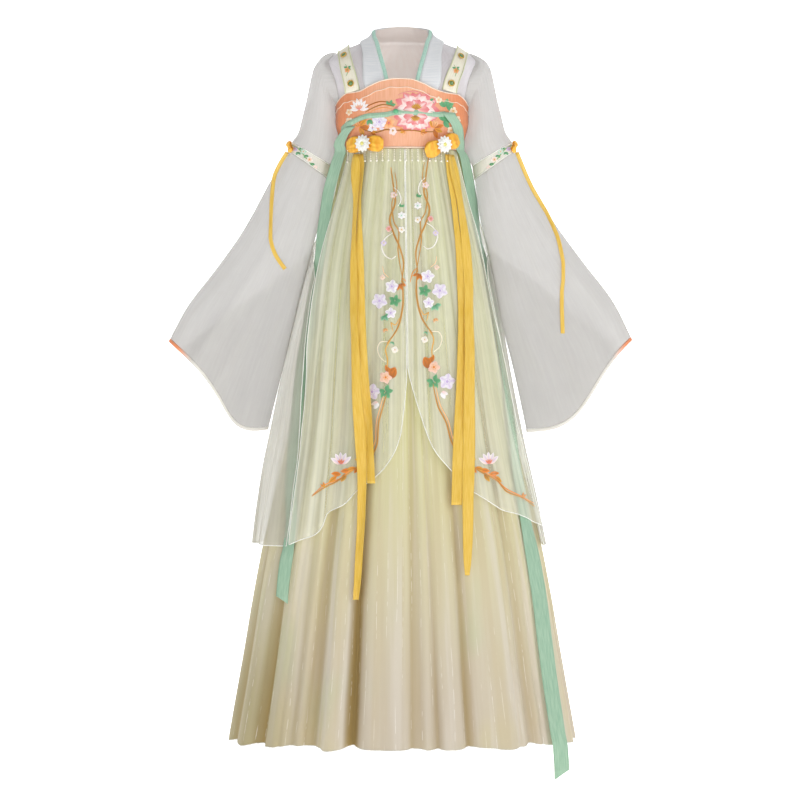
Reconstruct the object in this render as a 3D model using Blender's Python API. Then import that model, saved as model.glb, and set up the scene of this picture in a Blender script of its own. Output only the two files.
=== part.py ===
"""A chest-high Tang robe: an open jacket with gathered heads and flared sleeves, a skirt hung from a bodice on two straps,
and a sheer overskirt in three panels, with its belt, ties, bows and ribbons. It is hollow, as if worn.

X is the wearer's left to right as seen from the front, -Y is the front, +Z is up. The origin is on the middle line,
between the shoulders. Tables are in millimetres; everything built is in metres.
"""

import math

import bmesh
import bpy
import numpy as np

MM = 0.001
CLOTH = 1.2  # wall of the sheer pieces
STOUT = 2.0  # wall of the bodice, straps and bands
SEAM = 0.4  # gap left at a seam
SQUARE = 0.94  # 1 is an ellipse; less is a squarer ring

COLUMNS = 96  # round the skirt
GATHERS = 24  # round the skirt seam
HEM_Z = -1375
SEAM_Z = -204

# Half width, and depth in front and behind, at a height.
TORSO_WIDTH = [(-400, 116), (-300, 108), (-205, 106), (-160, 116), (-130, 122), (-106, 126), (-84, 136), (-70, 143),
               (-56, 149), (-44, 153), (-34, 154), (-26, 151), (-14, 138), (-7, 126), (0, 111), (14, 83), (28, 61), (36, 54)]
TORSO_FRONT = [(-400, 94), (-205, 89), (-150, 99), (-106, 101), (-80, 98), (-60, 90), (-40, 79), (-20, 65), (0, 48),
               (20, 26), (36, 8)]
TORSO_BACK = [(-400, 92), (-205, 82), (-106, 92), (-70, 92), (-40, 88), (-20, 82), (0, 73), (20, 62), (36, 56)]
BODICE_WIDTH = [(-206, 113), (-190, 121), (-170, 127), (-146, 132), (-120, 132), (-60, 131)]
BODICE_FRONT = [(-206, 98), (-150, 107), (-110, 109), (-60, 108)]
BODICE_BACK = [(-206, 90), (-150, 98), (-100, 101)]
SKIRT_WIDTH = [(-1372, 350), (-1300, 337), (-1200, 319), (-1100, 302), (-1000, 283), (-900, 260), (-800, 235),
               (-700, 214), (-600, 195), (-500, 176), (-400, 156), (-300, 133), (-204, 113)]
SKIRT_FRONT = [(-1372, 264), (-1200, 240), (-1000, 214), (-800, 188), (-600, 162), (-400, 132), (-204, 98)]
SKIRT_BACK = [(-1372, 268), (-1200, 244), (-1000, 216), (-800, 188), (-600, 160), (-400, 128), (-204, 90)]
# How far the overskirt stands off the skirt in front, at its left and at its right.
OVER_FRONT = [(-1000, 11), (-400, 10), (-300, 8), (-204, 3)]
OVER_LEFT = [(-1000, 22), (-900, 31), (-800, 38), (-700, 38), (-600, 35), (-500, 28), (-400, 21), (-300, 12), (-204, 3)]
OVER_RIGHT = [(-1000, 9), (-940, 10), (-860, 12), (-800, 13), (-600, 14), (-400, 14), (-300, 9), (-204, 3)]

# Folds of the skirt: angle from the front, spread, depth (below 0 a valley), height where it fades out.
FOLDS = [(-16, 3.6, -26, -420), (-22.5, 4.0, 9, -500), (-29, 3.2, -17, -380), (-38, 3.4, -12, -520),
         (-53, 4.5, -17, -330), (-62, 4.0, 7, -600), (-74, 4.5, -13, -420), (4.5, 2.6, -9, -300),
         (10.5, 2.6, -8, -560), (21.5, 3.0, -10, -640), (34, 5.0, 6, -520), (47, 3.6, -18, -380),
         (66, 3.6, -6, -480), (81, 4.0, -9, -560), (97, 4.5, -15, -400), (112, 4.0, -12, -520),
         (126, 4.5, -18, -360), (141, 4.0, -11, -560), (155, 4.5, -16, -420), (169, 4.0, -13, -340),
         (183, 4.5, -17, -460), (197, 4.0, -12, -400), (212, 4.5, -18, -500), (227, 4.0, -12, -360),
         (241, 4.5, -16, -440), (256, 4.0, -12, -520), (269, 4.0, -10, -460)]

# Top edge of the bodice across the front, then the lower edge of each front panel of the overskirt by angle.
BODICE_TOP = [(-132, -112), (-124, -103), (-108, -93), (-84, -91), (-60, -80), (-36, -71), (-12, -67), (14, -68),
              (38, -76), (62, -87), (84, -93), (108, -95), (124, -104), (132, -115)]
PANEL_RIGHT = [(2.5, -640), (7, -712), (13.7, -798), (21.7, -838), (32, -886), (48.6, -917), (62, -934), (72, -948)]
PANEL_LEFT = [(-72, -990), (-52, -986), (-36, -962), (-33, -950), (-31, -918), (-22.7, -902), (-18, -874), (-9, -842),
              (-3.4, -806), (-0.5, -768), (2, -660)]
SLIT_LEFT = [(-1000, -49.8), (-800, -51.8), (-600, -57.3), (-400, -64), (-204, -67)]
SLIT_LEFT_BACK = [(-1000, -51.2), (-800, -53.4), (-600, -59.4), (-460, -68), (-370, -94), (-204, -96)]
SLIT_RIGHT = [(-1000, 72), (-400, 71), (-204, 69)]
SLIT_RIGHT_BACK = [(-1000, 73.5), (-460, 73.5), (-370, 94), (-204, 96)]
BACK_HEM = -986

ARMHOLE_Z, ARMHOLE_RISE, ARMHOLE_DEPTH = -67, 39, 43
# Sleeve, from head to elbow band: outer point, inner point, half depth.
UPPER = [((170, -26), (136.4, -110.5), 48), ((179, -50), (135.6, -129), 50), ((187, -86), (135.6, -151), 48),
         ((197, -128), (133, -179), 45), ((208, -164), (134, -206), 42), ((220, -186), (141, -232), 40)]
BAND_END = ((227, -201), (145, -259), 42)
# Sleeve below the band: its upper edge and its edge beside the skirt, then the belly of the cuff.
TOP_LEFT = [(-227.4, -201.6), (-261, -260), (-317, -362), (-371, -439), (-429, -515), (-463, -577)]
LOW_LEFT = [(-145.3, -259.7), (-161, -330), (-183, -420), (-213, -540), (-241, -655), (-265, -752)]
TOP_RIGHT = [(227.5, -201.6), (247, -250), (303, -344), (363, -427), (422, -505), (457, -574)]
LOW_RIGHT = [(145.3, -259.7), (154, -330), (174, -420), (197, -540), (223, -645), (247, -757)]
BELLY_LEFT, BELLY_RIGHT = (35, 3.0), (40, 1.9)
SLEEVE_LEAN = 34  # how far forward the inner edge of a sleeve hangs
SLEEVE_HEAD = {-1: 10, 1: 2}  # rise of each sleeve's gathered head
CUFF_BINDING = 7

COLLAR_IN = [(60, 5, 37), (57, -8, 26), (53, -24, 10), (49, -42, -10), (43, -60, -32), (35, -80, -64), (27, -92, -100),
             (22, -96, -135)]
COLLAR_OUT = [(80, 4, 19), (80, -14, 13), (79, -30, 0), (77, -46, -16), (77, -60, -34), (76, -78, -66),
              (64, -88, -100), (56, -90, -135)]
COLLAR_BACK_IN = [(0, 53, 52), (22, 51, 51), (41, 41, 48), (54, 25, 43)]
COLLAR_BACK_OUT = [(0, 65, 22), (30, 61, 21), (56, 47, 19), (73, 26, 17)]
TRIM = 8
NECK_LINING = [(-112, 112, 84), (-70, 124, 85), (-30, 124, 80), (0, 90, 67), (20, 67, 60.4), (36, 54.6, 50.3), (52, 49.5, 47.6)]

BELT = [(-119, -165), (-110, -158), (-96, -150), (-82, -144), (-68, -140), (-50, -139), (-32, -138), (-12, -134),
        (10, -134), (30, -134), (50, -135), (66, -137), (84, -135)]
# Each tie hangs by the side: angle, height, distance off, and how far it is turned from lying flat towards the front.
TIE_LEFT_WIDTH, TIE_RIGHT_WIDTH = 25, 30
TIE_LEFT = [(-48.5, -158.6, 3.9, 0), (-60, -176, 9, 20), (-66, -196, 18, 34), (-68, -218, 22, 42), (-70, -252, 24, 48),
            (-72, -290, 24, 48), (-72, -326, 22, 46), (-72, -363, 20, 42), (-72, -398, 16, 36), (-74, -440, 12, 30),
            (-76, -500, 12, 32), (-73, -560, 13, 36), (-67, -640, 14, 38), (-62, -720, 14, 36), (-59, -800, 14, 32),
            (-55, -900, 13, 24), (-51.5, -960, 12.5, 14), (-50.5, -987, 13, 14), (-50, -1016, 15, 40), (-47.5, -1090, 18, 62)]
TIE_RIGHT = [(41, -132, 5.6, 0), (45.5, -143, 4.6, 0), (55, -161, 4.2, 4), (63, -186, 5, 6), (72, -204, 8, 12), (78, -222, 11, 24),
             (80, -250, 12, 30), (80, -290, 11, 28), (81, -330, 9, 20), (81, -376, 5.2, 8), (83, -440, 7, 12),
             (83, -500, 7, 13), (82, -560, 7, 13), (77, -640, 6, 8), (73, -700, 6, 7), (69, -780, 6.5, 7),
             (64, -860, 7.5, 6), (61, -930, 8.5, 8), (59.5, -1000, 12, 26), (58.5, -1080, 15, 36), (57.2, -1167, 17, 40),
             (56.3, -1270, 18, 40), (56, -1347, 19, 40), (57, -1400, 19, 40), (57.6, -1432, 19, 40)]
# Ribbons over the overskirt: distance from the middle, height, width.
RIBBON_LEFT_LONG = [(-84, -214, 10), (-84, -228, 14), (-83, -262, 13), (-83, -310, 8), (-84, -370, 8), (-85, -440, 12),
                    (-86, -520, 14), (-83, -600, 15), (-81, -680, 15), (-76, -780, 17), (-75, -840, 16),
                    (-77, -920, 16), (-82, -1000, 15), (-86, -1060, 13), (-89, -1087, 10)]
RIBBON_LEFT_SHORT = [(-78, -214, 8), (-76, -240, 11), (-77, -300, 8), (-76, -400, 12), (-75, -520, 15), (-71, -640, 16),
                     (-63, -760, 17), (-58, -862, 16)]
RIBBON_RIGHT_LONG = [(90, -214, 12), (95, -250, 16), (104, -310, 11), (115, -400, 13), (122, -500, 17),
                     (122, -600, 20), (121, -700, 20), (121, -800, 20), (121, -880, 20), (122, -950, 18),
                     (122, -1010, 14), (122, -1040, 8)]
RIBBON_RIGHT_SHORT = [(84, -214, 8), (89, -260, 10), (97, -330, 9), (106, -420, 11), (110, -520, 14), (109, -640, 18),
                      (105, -760, 20), (102, -904, 19)]
SLEEVE_RIBBON_LEFT = [(-229, -206), (-247, -236), (-256, -262), (-260, -324), (-261, -376), (-252, -410), (-232, -440)]
SLEEVE_RIBBON_RIGHT = [(229, -206), (256, -270), (294, -338), (313, -388), (321, -444), (317, -496), (319, -568)]
STRAP_WIDTH, STRAP_FLARE = 25, 6
# Straps: distance across, height, and -1 in front or 1 behind.
STRAP_LEFT = [(-96, -90.3, -1), (-100, -70, -1), (-106, -48, -1), (-111, -24, -1), (-114, -7, -1), (-115, -1, 1),
              (-113, -10, 1), (-108, -30, 1), (-103, -56, 1), (-98, -82, 1), (-96, -104, 1)]
STRAP_RIGHT = [(92, -90.4, -1), (97, -70, -1), (106, -48, -1), (113, -24, -1), (117, -9, -1), (118, -3, 1),
               (116, -12, 1), (110, -32, 1), (104, -58, 1), (98, -82, 1), (96, -104, 1)]


def curve(table, x):
    """A smooth curve through a short table of pairs, with no overshoot between them."""
    keys = np.array(sorted(table), float)
    xs, ys = keys[:, 0], keys[:, 1]
    rise = np.diff(ys) / np.diff(xs)
    slope = np.concatenate([rise[:1], np.zeros(len(xs) - 2), rise[-1:]])
    same = rise[:-1] * rise[1:] > 0
    slope[1:-1] = np.where(same, 2 * rise[:-1] * rise[1:] / np.where(same, rise[:-1] + rise[1:], 1), 0)
    x = np.clip(x, xs[0], xs[-1])
    i = np.clip(np.searchsorted(xs, x, side="right") - 1, 0, len(xs) - 2)
    step = xs[i + 1] - xs[i]
    t = (x - xs[i]) / step
    return ((2 * t**3 - 3 * t**2 + 1) * ys[i] + (t**3 - 2 * t**2 + t) * step * slope[i]
            + (3 * t**2 - 2 * t**3) * ys[i + 1] + (t**3 - t**2) * step * slope[i + 1])


def path(points, t):
    """Points at fractions t of the length of a smooth path through the given ones."""
    points = np.array(points, float)
    run = np.concatenate([[0], np.cumsum(np.linalg.norm(np.diff(points[:, :2], axis=0), axis=1))])
    run /= run[-1]
    return np.stack([curve(list(zip(run, points[:, k])), t) for k in range(points.shape[1])], axis=-1)


def ring(angle, width, front, back, off):
    """x and y on a closed ring. angle is in degrees from the front, and off is the distance out from the ring."""
    a = np.radians(angle)
    depth = np.where(np.cos(a) > 0, front, back)

    def place(a):
        s, c = np.sin(a), np.cos(a)
        return width * np.sign(s) * np.abs(s) ** SQUARE, -depth * np.sign(c) * np.abs(c) ** SQUARE

    x, y = place(a)
    s, c = np.sin(a), np.cos(a)
    out_x, out_y = s * depth, -c * width
    size = np.hypot(out_x, out_y)
    return x + off * out_x / size, y + off * out_y / size


def angle_at(x, width):
    """The front angle at which a ring of this half width passes x."""
    share = np.clip(np.abs(x) / width, 0, 1) ** (1 / SQUARE)
    return np.sign(x) * np.degrees(np.arcsin(share))


def torso(angle, z, off=0.0):
    x, y = ring(angle, curve(TORSO_WIDTH, z), curve(TORSO_FRONT, z), curve(TORSO_BACK, z), off)
    return np.stack(np.broadcast_arrays(x, y, z), axis=-1)


def bodice(angle, z, off=0.0):
    x, y = ring(angle, curve(BODICE_WIDTH, z), curve(BODICE_FRONT, z), curve(BODICE_BACK, z), off)
    return np.stack(np.broadcast_arrays(x, y, z), axis=-1)


def fold(angle, z):
    """How far the skirt stands out at this angle and height: gathers at the seam, loose folds below."""
    angle, z = np.broadcast_arrays(np.asarray(angle, float), np.asarray(z, float))
    a = np.radians(angle)
    low = np.clip((z - SEAM_Z) / (-640 - SEAM_Z), 0, 1)
    out = 2.4 * (1 - low) * np.cos(GATHERS * a) + 3.0 * np.sin(math.pi * low) * np.cos(GATHERS / 2 * a + 0.9 * np.sin(2 * a))
    for at, spread, depth, start in FOLDS:
        grow = np.clip((z - start) / (HEM_Z + 100 - start), 0, 1)
        away = (angle - at + 180) % 360 - 180
        out = out + depth * grow ** 0.8 * np.exp(-((away / spread) ** 2))
    return out


def skirt(angle, z, off=0.0):
    x, y = ring(angle, curve(SKIRT_WIDTH, z), curve(SKIRT_FRONT, z), curve(SKIRT_BACK, z), off + fold(angle, z))
    return np.stack(np.broadcast_arrays(x, y, z), axis=-1)


def stand_off(angle, z):
    """How far the overskirt hangs off the skirt."""
    side = np.sin(np.radians(angle))
    wide = np.where(side < 0, curve(OVER_LEFT, z), curve(OVER_RIGHT, z))
    front = curve(OVER_FRONT, z)
    return front + (wide - front) * side**2


def cloth(name, grid, wall, wrap, finish, shift=0.0):
    """A closed sheet of one thickness through a grid of points in millimetres. wrap joins its last column to its first."""
    grid = np.asarray(grid, float)
    rows, cols = grid.shape[:2]
    down = np.gradient(grid, axis=0)
    if wrap:
        across = np.roll(grid, -1, axis=1) - np.roll(grid, 1, axis=1)
    else:
        across = np.gradient(grid, axis=1)
    normal = np.cross(across, down)
    normal /= np.linalg.norm(normal, axis=2, keepdims=True)
    bm = bmesh.new()
    sides = []
    for step in (shift + wall / 2, shift - wall / 2):
        side = (grid + normal * step) * MM
        sides.append([[bm.verts.new(side[i, j]) for j in range(cols)] for i in range(rows)])
    outer, inner = sides
    last = cols if wrap else cols - 1

    def skin(a, b, c, d):
        bm.faces.new((a, b, c))
        bm.faces.new((a, c, d))

    for j in range(last):
        k = (j + 1) % cols
        for i in range(rows - 1):
            skin(outer[i][j], outer[i][k], outer[i + 1][k], outer[i + 1][j])
            skin(inner[i][j], inner[i + 1][j], inner[i + 1][k], inner[i][k])
        skin(outer[0][j], inner[0][j], inner[0][k], outer[0][k])
        skin(outer[-1][j], outer[-1][k], inner[-1][k], inner[-1][j])
    if not wrap:
        for i in range(rows - 1):
            skin(outer[i][0], outer[i + 1][0], inner[i + 1][0], inner[i][0])
            skin(outer[i][-1], inner[i][-1], inner[i + 1][-1], outer[i + 1][-1])
    return keep(name, bm, finish)


def keep(name, bm, finish):
    bmesh.ops.recalc_face_normals(bm, faces=bm.faces)
    mesh = bpy.data.meshes.new(name)
    bm.to_mesh(mesh)
    bm.free()
    mesh.shade_smooth()
    mesh.set_sharp_from_angle(angle=math.radians(50))
    mesh.materials.append(finish)
    obj = bpy.data.objects.new(name, mesh)
    bpy.context.scene.collection.objects.link(obj)
    return obj


def paint(name, colour, roughness=0.8):
    material = bpy.data.materials.new(name)
    material.use_nodes = True
    shader = material.node_tree.nodes["Principled BSDF"]
    shader.inputs["Base Color"].default_value = (*colour, 1)
    shader.inputs["Roughness"].default_value = roughness
    shader.inputs["Metallic"].default_value = 0.0
    return material


def torso_at(points, off):
    """Moves points given as x, y, z out to the jacket's own surface, keeping x and z, and then off by a distance."""
    points = np.array(points, float)
    x, z = points[:, 0], points[:, 2]
    angle = angle_at(x, curve(TORSO_WIDTH, z))
    angle = np.where(points[:, 1] > 0, np.sign(x + 1e-9) * 180 - angle, angle)
    return torso(angle, z, off)


# ---------------------------------------------------------------- jacket


def armhole_edge(z, depth):
    """The angle of the armhole's edge at a height, or the side seam's outside the armhole."""
    half = ARMHOLE_DEPTH * np.sqrt(np.clip(1 - ((z - ARMHOLE_Z) / ARMHOLE_RISE) ** 2, 0, 1))
    return np.degrees(np.arccos(np.clip(half / depth, 0, 1) ** (1 / SQUARE)))


JACKET_ROWS = [17, 6, -6, -20, -28, -34, -44, -58, -71, -84, -98, -106, -135, -205, -300, -400]


def jacket_front(name, side, finish):
    inner_edge = [(-z, x + 5) for x, _, z in COLLAR_IN] + [(400, 20)]
    rows = []
    for z in JACKET_ROWS:
        start = angle_at(np.float64(curve(inner_edge, -z)), curve(TORSO_WIDTH, z))
        end = min(armhole_edge(z, curve(TORSO_FRONT, z)), 89.8)
        angle = np.linspace(start, end, 7)
        rows.append(torso(side * angle, float(z)))
    cloth(name, rows, CLOTH, False, finish)


def jacket_back(finish):
    rows = []
    for z in JACKET_ROWS:
        end = 180 - min(armhole_edge(z, curve(TORSO_BACK, z)), 89.8)
        rows.append(torso(np.linspace(end, 360 - end, 12), float(z)))
    cloth("jacket_back", rows, CLOTH, False, finish)


def collar(finish):
    """One band round the back of the neck and down both fronts."""
    lift = np.array([5.4, 5.1, 4.8, 4.6, 4.3, 3.8, 3.5, 3.3])
    flip = np.array([-1, 1, 1])
    lines = []
    for share in (0, 0.35, 0.7, 1):
        front = torso_at(np.array(COLLAR_IN) * (1 - share) + np.array(COLLAR_OUT) * share, lift)
        behind = np.array(COLLAR_BACK_IN) * (1 - share) + torso_at(COLLAR_BACK_OUT, 4.2) * share
        if share == 0:
            front[0] = COLLAR_IN[0]
            front[1, 1] = COLLAR_IN[1][1] - 2
        half = np.concatenate([behind, front])
        lines.append(np.concatenate([half[:0:-1] * flip, half]))
        if share == 0:
            front_in = front
    cloth("collar", np.stack(lines), STOUT, False, finish)
    front_out = torso_at(COLLAR_OUT, lift)
    for name, side in (("collar_trim_left", -1), ("collar_trim_right", 1)):
        edge = front_in * np.array([side, 1, 1])
        across = (front_out - front_in) * np.array([side, 1, 1])
        across /= np.linalg.norm(across, axis=1, keepdims=True)
        cloth(name, np.stack([edge - across * (SEAM + 0.4), edge - across * (TRIM + 0.2)]), STOUT, False, finish_trim)


def lining_level(x, z):
    """The lining's edge is highest behind the neck, and falls towards its sides."""
    return z - 12 * np.clip((z - 10) / 42, 0, 1) * (x / 50) ** 2


def neck_lining(finish):
    rows = []
    for z, width, back in NECK_LINING[::-1]:
        x, y = ring(np.linspace(96, 264, 11), width, back, back, 0)
        rows.append(np.stack([x, y, lining_level(x, z)], axis=-1))
    cloth("neck_lining", rows, CLOTH, False, finish)


# ---------------------------------------------------------------- sleeves

AROUND = np.radians(np.arange(0, 360, 15))


def section(top, low, depth, taper=0.25, centre=0.0, belly=(0, 1)):
    """A ring through an upper and a lower point. It bellies out towards the cuff, and thins towards its lower edge."""
    top, low = np.array(top, float), np.array(low, float)
    u = (1 - np.cos(AROUND)) / 2
    chord = low - top
    out = np.array([-chord[1], chord[0]]) * np.sign(top[0]) / np.linalg.norm(chord)
    xz = top + np.outer(u, chord) + np.outer(np.sin(math.pi * u ** belly[1]) * belly[0], out)
    y = centre - depth * np.sin(AROUND) * (1 - taper * u)
    return np.stack([xz[:, 0], y, xz[:, 1]], axis=-1)


def head_rise(side):
    """How far the gathered head of a sleeve stands up beyond its seam, round the armhole."""
    return SLEEVE_HEAD[side] * np.clip(np.cos(AROUND), 0, 1) ** 1.5


def upper_sleeve(name, side, finish):
    z = ARMHOLE_Z + ARMHOLE_RISE * np.cos(AROUND)
    y = -ARMHOLE_DEPTH * np.sin(AROUND)
    depth = np.where(y < 0, curve(TORSO_FRONT, z), curve(TORSO_BACK, z))
    turn = np.arccos(np.clip(np.abs(y) / depth, 0, 1) ** (1 / SQUARE))
    x = side * (curve(TORSO_WIDTH, z) * np.sin(turn) ** SQUARE + 1.2)
    rings = [np.stack([x, y, z], axis=-1)]
    for k, (outer, inner, half) in enumerate(UPPER):
        puff = 1 + 0.035 * math.cos(math.pi * k / 5) * np.cos(8 * AROUND)
        row = section((side * outer[0], outer[1]), (side * inner[0], inner[1]), half, 0.1)
        middle = row.mean(axis=0)
        rings.append(middle + (row - middle) * (puff[:, None] if k < 3 else 1))
    rings.insert(1, (rings[0] + rings[1]) / 2 + head_rise(side)[:, None] * [0, 0, 1])
    cloth(name, rings, CLOTH, True, finish)


def elbow_band(name, side, finish):
    outer, inner, half = UPPER[-1]
    first = section((side * (outer[0] + 0.35), outer[1] - 0.4), (side * (inner[0] + 0.2), inner[1] - 0.45), half, 0.1)
    outer, inner, half = BAND_END
    last = section((side * outer[0], outer[1]), (side * inner[0], inner[1]), half, 0.1)
    cloth(name, [first, last], STOUT, True, finish)


def lower_rings(top, low, belly, steps):
    """Rings of a flared sleeve, for each fraction of its length in steps."""
    upper, lower = path(top, steps), path(low, steps)
    rings = []
    for s, t, b in zip(steps, upper, lower):
        depth = 42 - 6 * s + 8 * math.sin(math.pi * s)
        row = section(t, b, depth, 0.1 + 0.55 * s, -4 * s, (belly[0] * s**1.5, belly[1]))
        u = (1 - np.cos(AROUND)) / 2
        row[:, 1] -= SLEEVE_LEAN * (1 - math.exp(-6 * s)) * u**1.5
        wave = 4.5 * s * np.sin(3 * math.pi * u + 1.2) * np.sin(math.pi * u)
        row[:, 1] += wave * np.where(np.sin(AROUND) > 0, 1, 0.6)
        rings.append(row)
    return rings


def lower_sleeve(name, top, low, belly, finish, finish_edge):
    rings = lower_rings(top, low, belly, np.linspace(0, 1, 8))
    cloth("sleeve_lower_" + name, rings, CLOTH, True, finish)
    step = rings[-1] - rings[-2]
    step /= np.linalg.norm(step, axis=1, keepdims=True)
    cloth("cuff_binding_" + name, [rings[-1] + step * (SEAM + 0.1), rings[-1] + step * CUFF_BINDING], 1.6, True,
          finish_edge)


def sleeve_front(top, low, belly):
    """Front points of a flared sleeve, fine enough to lay a ribbon on."""
    rings = np.array(lower_rings(top, low, belly, np.linspace(0, 1, 41)))
    return rings[:, 1:12].reshape(-1, 3)


def sleeve_ribbon(name, points, top, low, belly, finish):
    spots = path(points, np.linspace(0, 1, 15))
    cloud = sleeve_front(top, low, belly)
    side = np.sign(points[0][0])
    edges = []
    for shift in (-4.0, 4.0):
        row = []
        for k, (x, z) in enumerate(spots):
            near = np.argsort(np.hypot(cloud[:, 0] - x, cloud[:, 2] - z))[:4]
            row.append((x + shift, min(cloud[near, 1].min() - 3.2, -20), z))
        row = np.array(row)
        edges.append(row)
    grid = np.stack(edges)
    grid[:, :, 1] = grid[:, :, 1].min(axis=0)
    smooth = grid.copy()
    for _ in range(2):
        smooth[:, 1:-1, 1] = np.minimum(grid[:, 1:-1, 1], (smooth[:, :-2, 1] + smooth[:, 2:, 1]) / 2)
    cloth(name, smooth, CLOTH, False, finish)


# ---------------------------------------------------------------- bodice


def bodice_front(finish):
    width = curve(BODICE_WIDTH, -120)
    angle = np.linspace(-89.7, 89.7, 23)
    top = curve(BODICE_TOP, width * np.sin(np.radians(angle)))
    rows = [bodice(angle, top + (SEAM_Z + 0.6 - top) * f) for f in np.linspace(0, 1, 5)]
    cloth("bodice_front", rows, STOUT, False, finish)


def bodice_back(finish):
    angle = np.linspace(90.3, 269.7, 13)
    top = -114 + 6 * np.cos(np.radians(angle - 180) * 1.0) ** 2
    rows = [bodice(angle, top + (SEAM_Z + 0.6 - top) * f) for f in np.linspace(0, 1, 4)]
    cloth("bodice_back", rows, STOUT, False, finish)


def strap_half(t):
    """Half the width of a strap, which flares towards the bodice in front."""
    return (STRAP_WIDTH + STRAP_FLARE * np.clip(1 - t / 0.42, 0, 1)) / 2


def strap(name, points, finish):
    middle = torso_at([(x, behind, z) for x, z, behind in points], 0)
    run = np.concatenate([[0], np.cumsum(np.linalg.norm(np.diff(middle, axis=0), axis=1))])
    even = np.linspace(0, run[-1], 18)
    middle = np.stack([curve(list(zip(run, middle[:, k])), even) for k in range(3)], axis=-1)
    along = np.gradient(middle, axis=0)
    along /= np.linalg.norm(along, axis=1, keepdims=True)
    out = middle * np.array([0.35, 1, 0]) + np.array([0, 0, 60])
    out -= along * (out * along).sum(axis=1, keepdims=True)
    out /= np.linalg.norm(out, axis=1, keepdims=True)
    across = np.cross(along, out)
    line = middle + out * (7.0 - 1.6 * np.sin(np.linspace(0, math.pi, 18)))[:, None]
    half = strap_half(np.linspace(0, 1, 18))[:, None]
    grid = np.stack([line - across * half - out * 0.5, line, line + across * half - out * 0.5])
    cloth(name, grid, 1.6, False, finish)
    return line, out, across


def disc(name, centre, facing, radius, thick, sides, finish, petals=0.0, dome=0.0):
    """A thin round piece facing a direction. petals is how far in its edge goes between points."""
    facing = np.array(facing, float) / np.linalg.norm(facing)
    right = np.cross(facing, (0, 0, 1.0))
    right /= np.linalg.norm(right)
    up = np.cross(right, facing)
    centre = np.array(centre, float)
    bm = bmesh.new()
    turn = np.arange(sides) * 2 * math.pi / sides
    reach = radius * (1 - petals * (np.arange(sides) % 2))
    rims = []
    for level in (thick / 2, -thick / 2):
        spots = [centre + facing * level + (right * math.cos(t) + up * math.sin(t)) * r for t, r in zip(turn, reach)]
        rims.append([bm.verts.new(spot * MM) for spot in spots])
    front = bm.verts.new((centre + facing * (thick / 2 + dome)) * MM)
    back = bm.verts.new((centre - facing * thick / 2) * MM)
    for j in range(sides):
        k = (j + 1) % sides
        bm.faces.new((rims[0][j], rims[0][k], front))
        bm.faces.new((rims[1][k], rims[1][j], back))
        bm.faces.new((rims[0][k], rims[0][j], rims[1][j], rims[1][k]))
    keep(name, bm, finish)


def belt(finish):
    line = path(BELT, np.linspace(0, 1, 22))
    rows = []
    for rise in (4.5, -4.5):
        z = line[:, 1] + rise
        rows.append(bodice(angle_at(line[:, 0], curve(BODICE_WIDTH, z)), z, 2.2))
    cloth("belt", rows, CLOTH, False, finish)


def bow(name, centre, facing, half, high, pinch, deep, tilt, finish):
    """A ribbon bow: one loop to each side of a pinched middle, open above and below."""
    facing = np.array(facing, float) / np.linalg.norm(facing)
    right = np.cross(facing, (0, 0, 1.0))
    right /= np.linalg.norm(right)
    up = np.cross(right, facing)
    right, up = right * math.cos(tilt) + up * math.sin(tilt), up * math.cos(tilt) - right * math.sin(tilt)
    rows = [[], []]
    for t in np.radians(np.arange(0, 360, 15)):
        out = half * math.cos(t)
        full = abs(math.cos(t)) ** 0.7
        away = math.sin(t) * (pinch + (deep - pinch) * math.sin(math.pi * min(abs(math.cos(t)) ** 1.3, 1)) ** 0.8)
        tall = 0.38 * high + 0.62 * high * full
        for row, sign in zip(rows, (1, -1)):
            row.append(np.array(centre) + right * out + facing * away + up * tall * sign)
    cloth(name, rows, CLOTH, True, finish)


# ---------------------------------------------------------------- skirts and what hangs on them

ANGLES = np.arange(COLUMNS) * 360.0 / COLUMNS
SKIRT_ROWS = [SEAM_Z, -240, -300, -390, -500, -640, -790, -950, -1110, -1250, HEM_Z]


def main_skirt(finish):
    rows = [skirt(ANGLES, float(z)) for z in SKIRT_ROWS]
    cloth("skirt", rows, CLOTH, True, finish)


def over_panel(name, start, end, hem, finish, corner=0.0):
    """One panel of the overskirt between two edges, each an angle by height, down to a hem that is a height by angle."""
    rows = []
    turns = curve(start, SEAM_Z), curve(end, SEAM_Z)
    count = max(4, int(round(abs(turns[1] - turns[0]) / 4.4)) + 1)
    across = np.linspace(0, 1, count)
    low_start, low_end = curve(start, -940), curve(end, -940)
    bottom = curve(hem, low_start + (low_end - low_start) * across)
    for f in (0, 0.05, 0.14, 0.28, 0.46, 0.65, 0.84, 1.0):
        z = SEAM_Z - 0.5 + (bottom - SEAM_Z) * f
        first, last = curve(start, z), curve(end, z)
        angle = first + (last - first) * across
        off = stand_off(angle, z) + corner * f**4 * across**6
        rows.append(skirt(angle, z, off))
    cloth(name, rows, CLOTH, False, finish)


def hung_line(spots, count):
    """Where a free ribbon hangs: its middle line, and the way across it."""
    line = path([(a * 2.5, z, off, turn) for a, z, off, turn in spots], np.linspace(0, 1, count))
    angle, z, off, turn = line[:, 0] / 2.5, line[:, 1], line[:, 2], np.radians(line[:, 3])
    low = np.clip((SEAM_Z + 8 - z) / 16, 0, 1)[:, None]

    def place(off):
        on_skirt, on_bodice = skirt(angle, np.minimum(z, SEAM_Z), off), bodice(angle, np.maximum(z, SEAM_Z), off)
        spot = on_skirt * low + on_bodice * (1 - low)
        spot[:, 2] = z
        return spot

    middle, out = place(off), place(off + 1) - place(off)
    out[:, 2] = 0
    out /= np.linalg.norm(out, axis=1, keepdims=True)
    side = np.sign(spots[0][0])
    back = np.stack([-out[:, 1], out[:, 0], out[:, 2]], axis=-1) * side
    return middle, back * np.cos(turn)[:, None] + out * np.sin(turn)[:, None]


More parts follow.
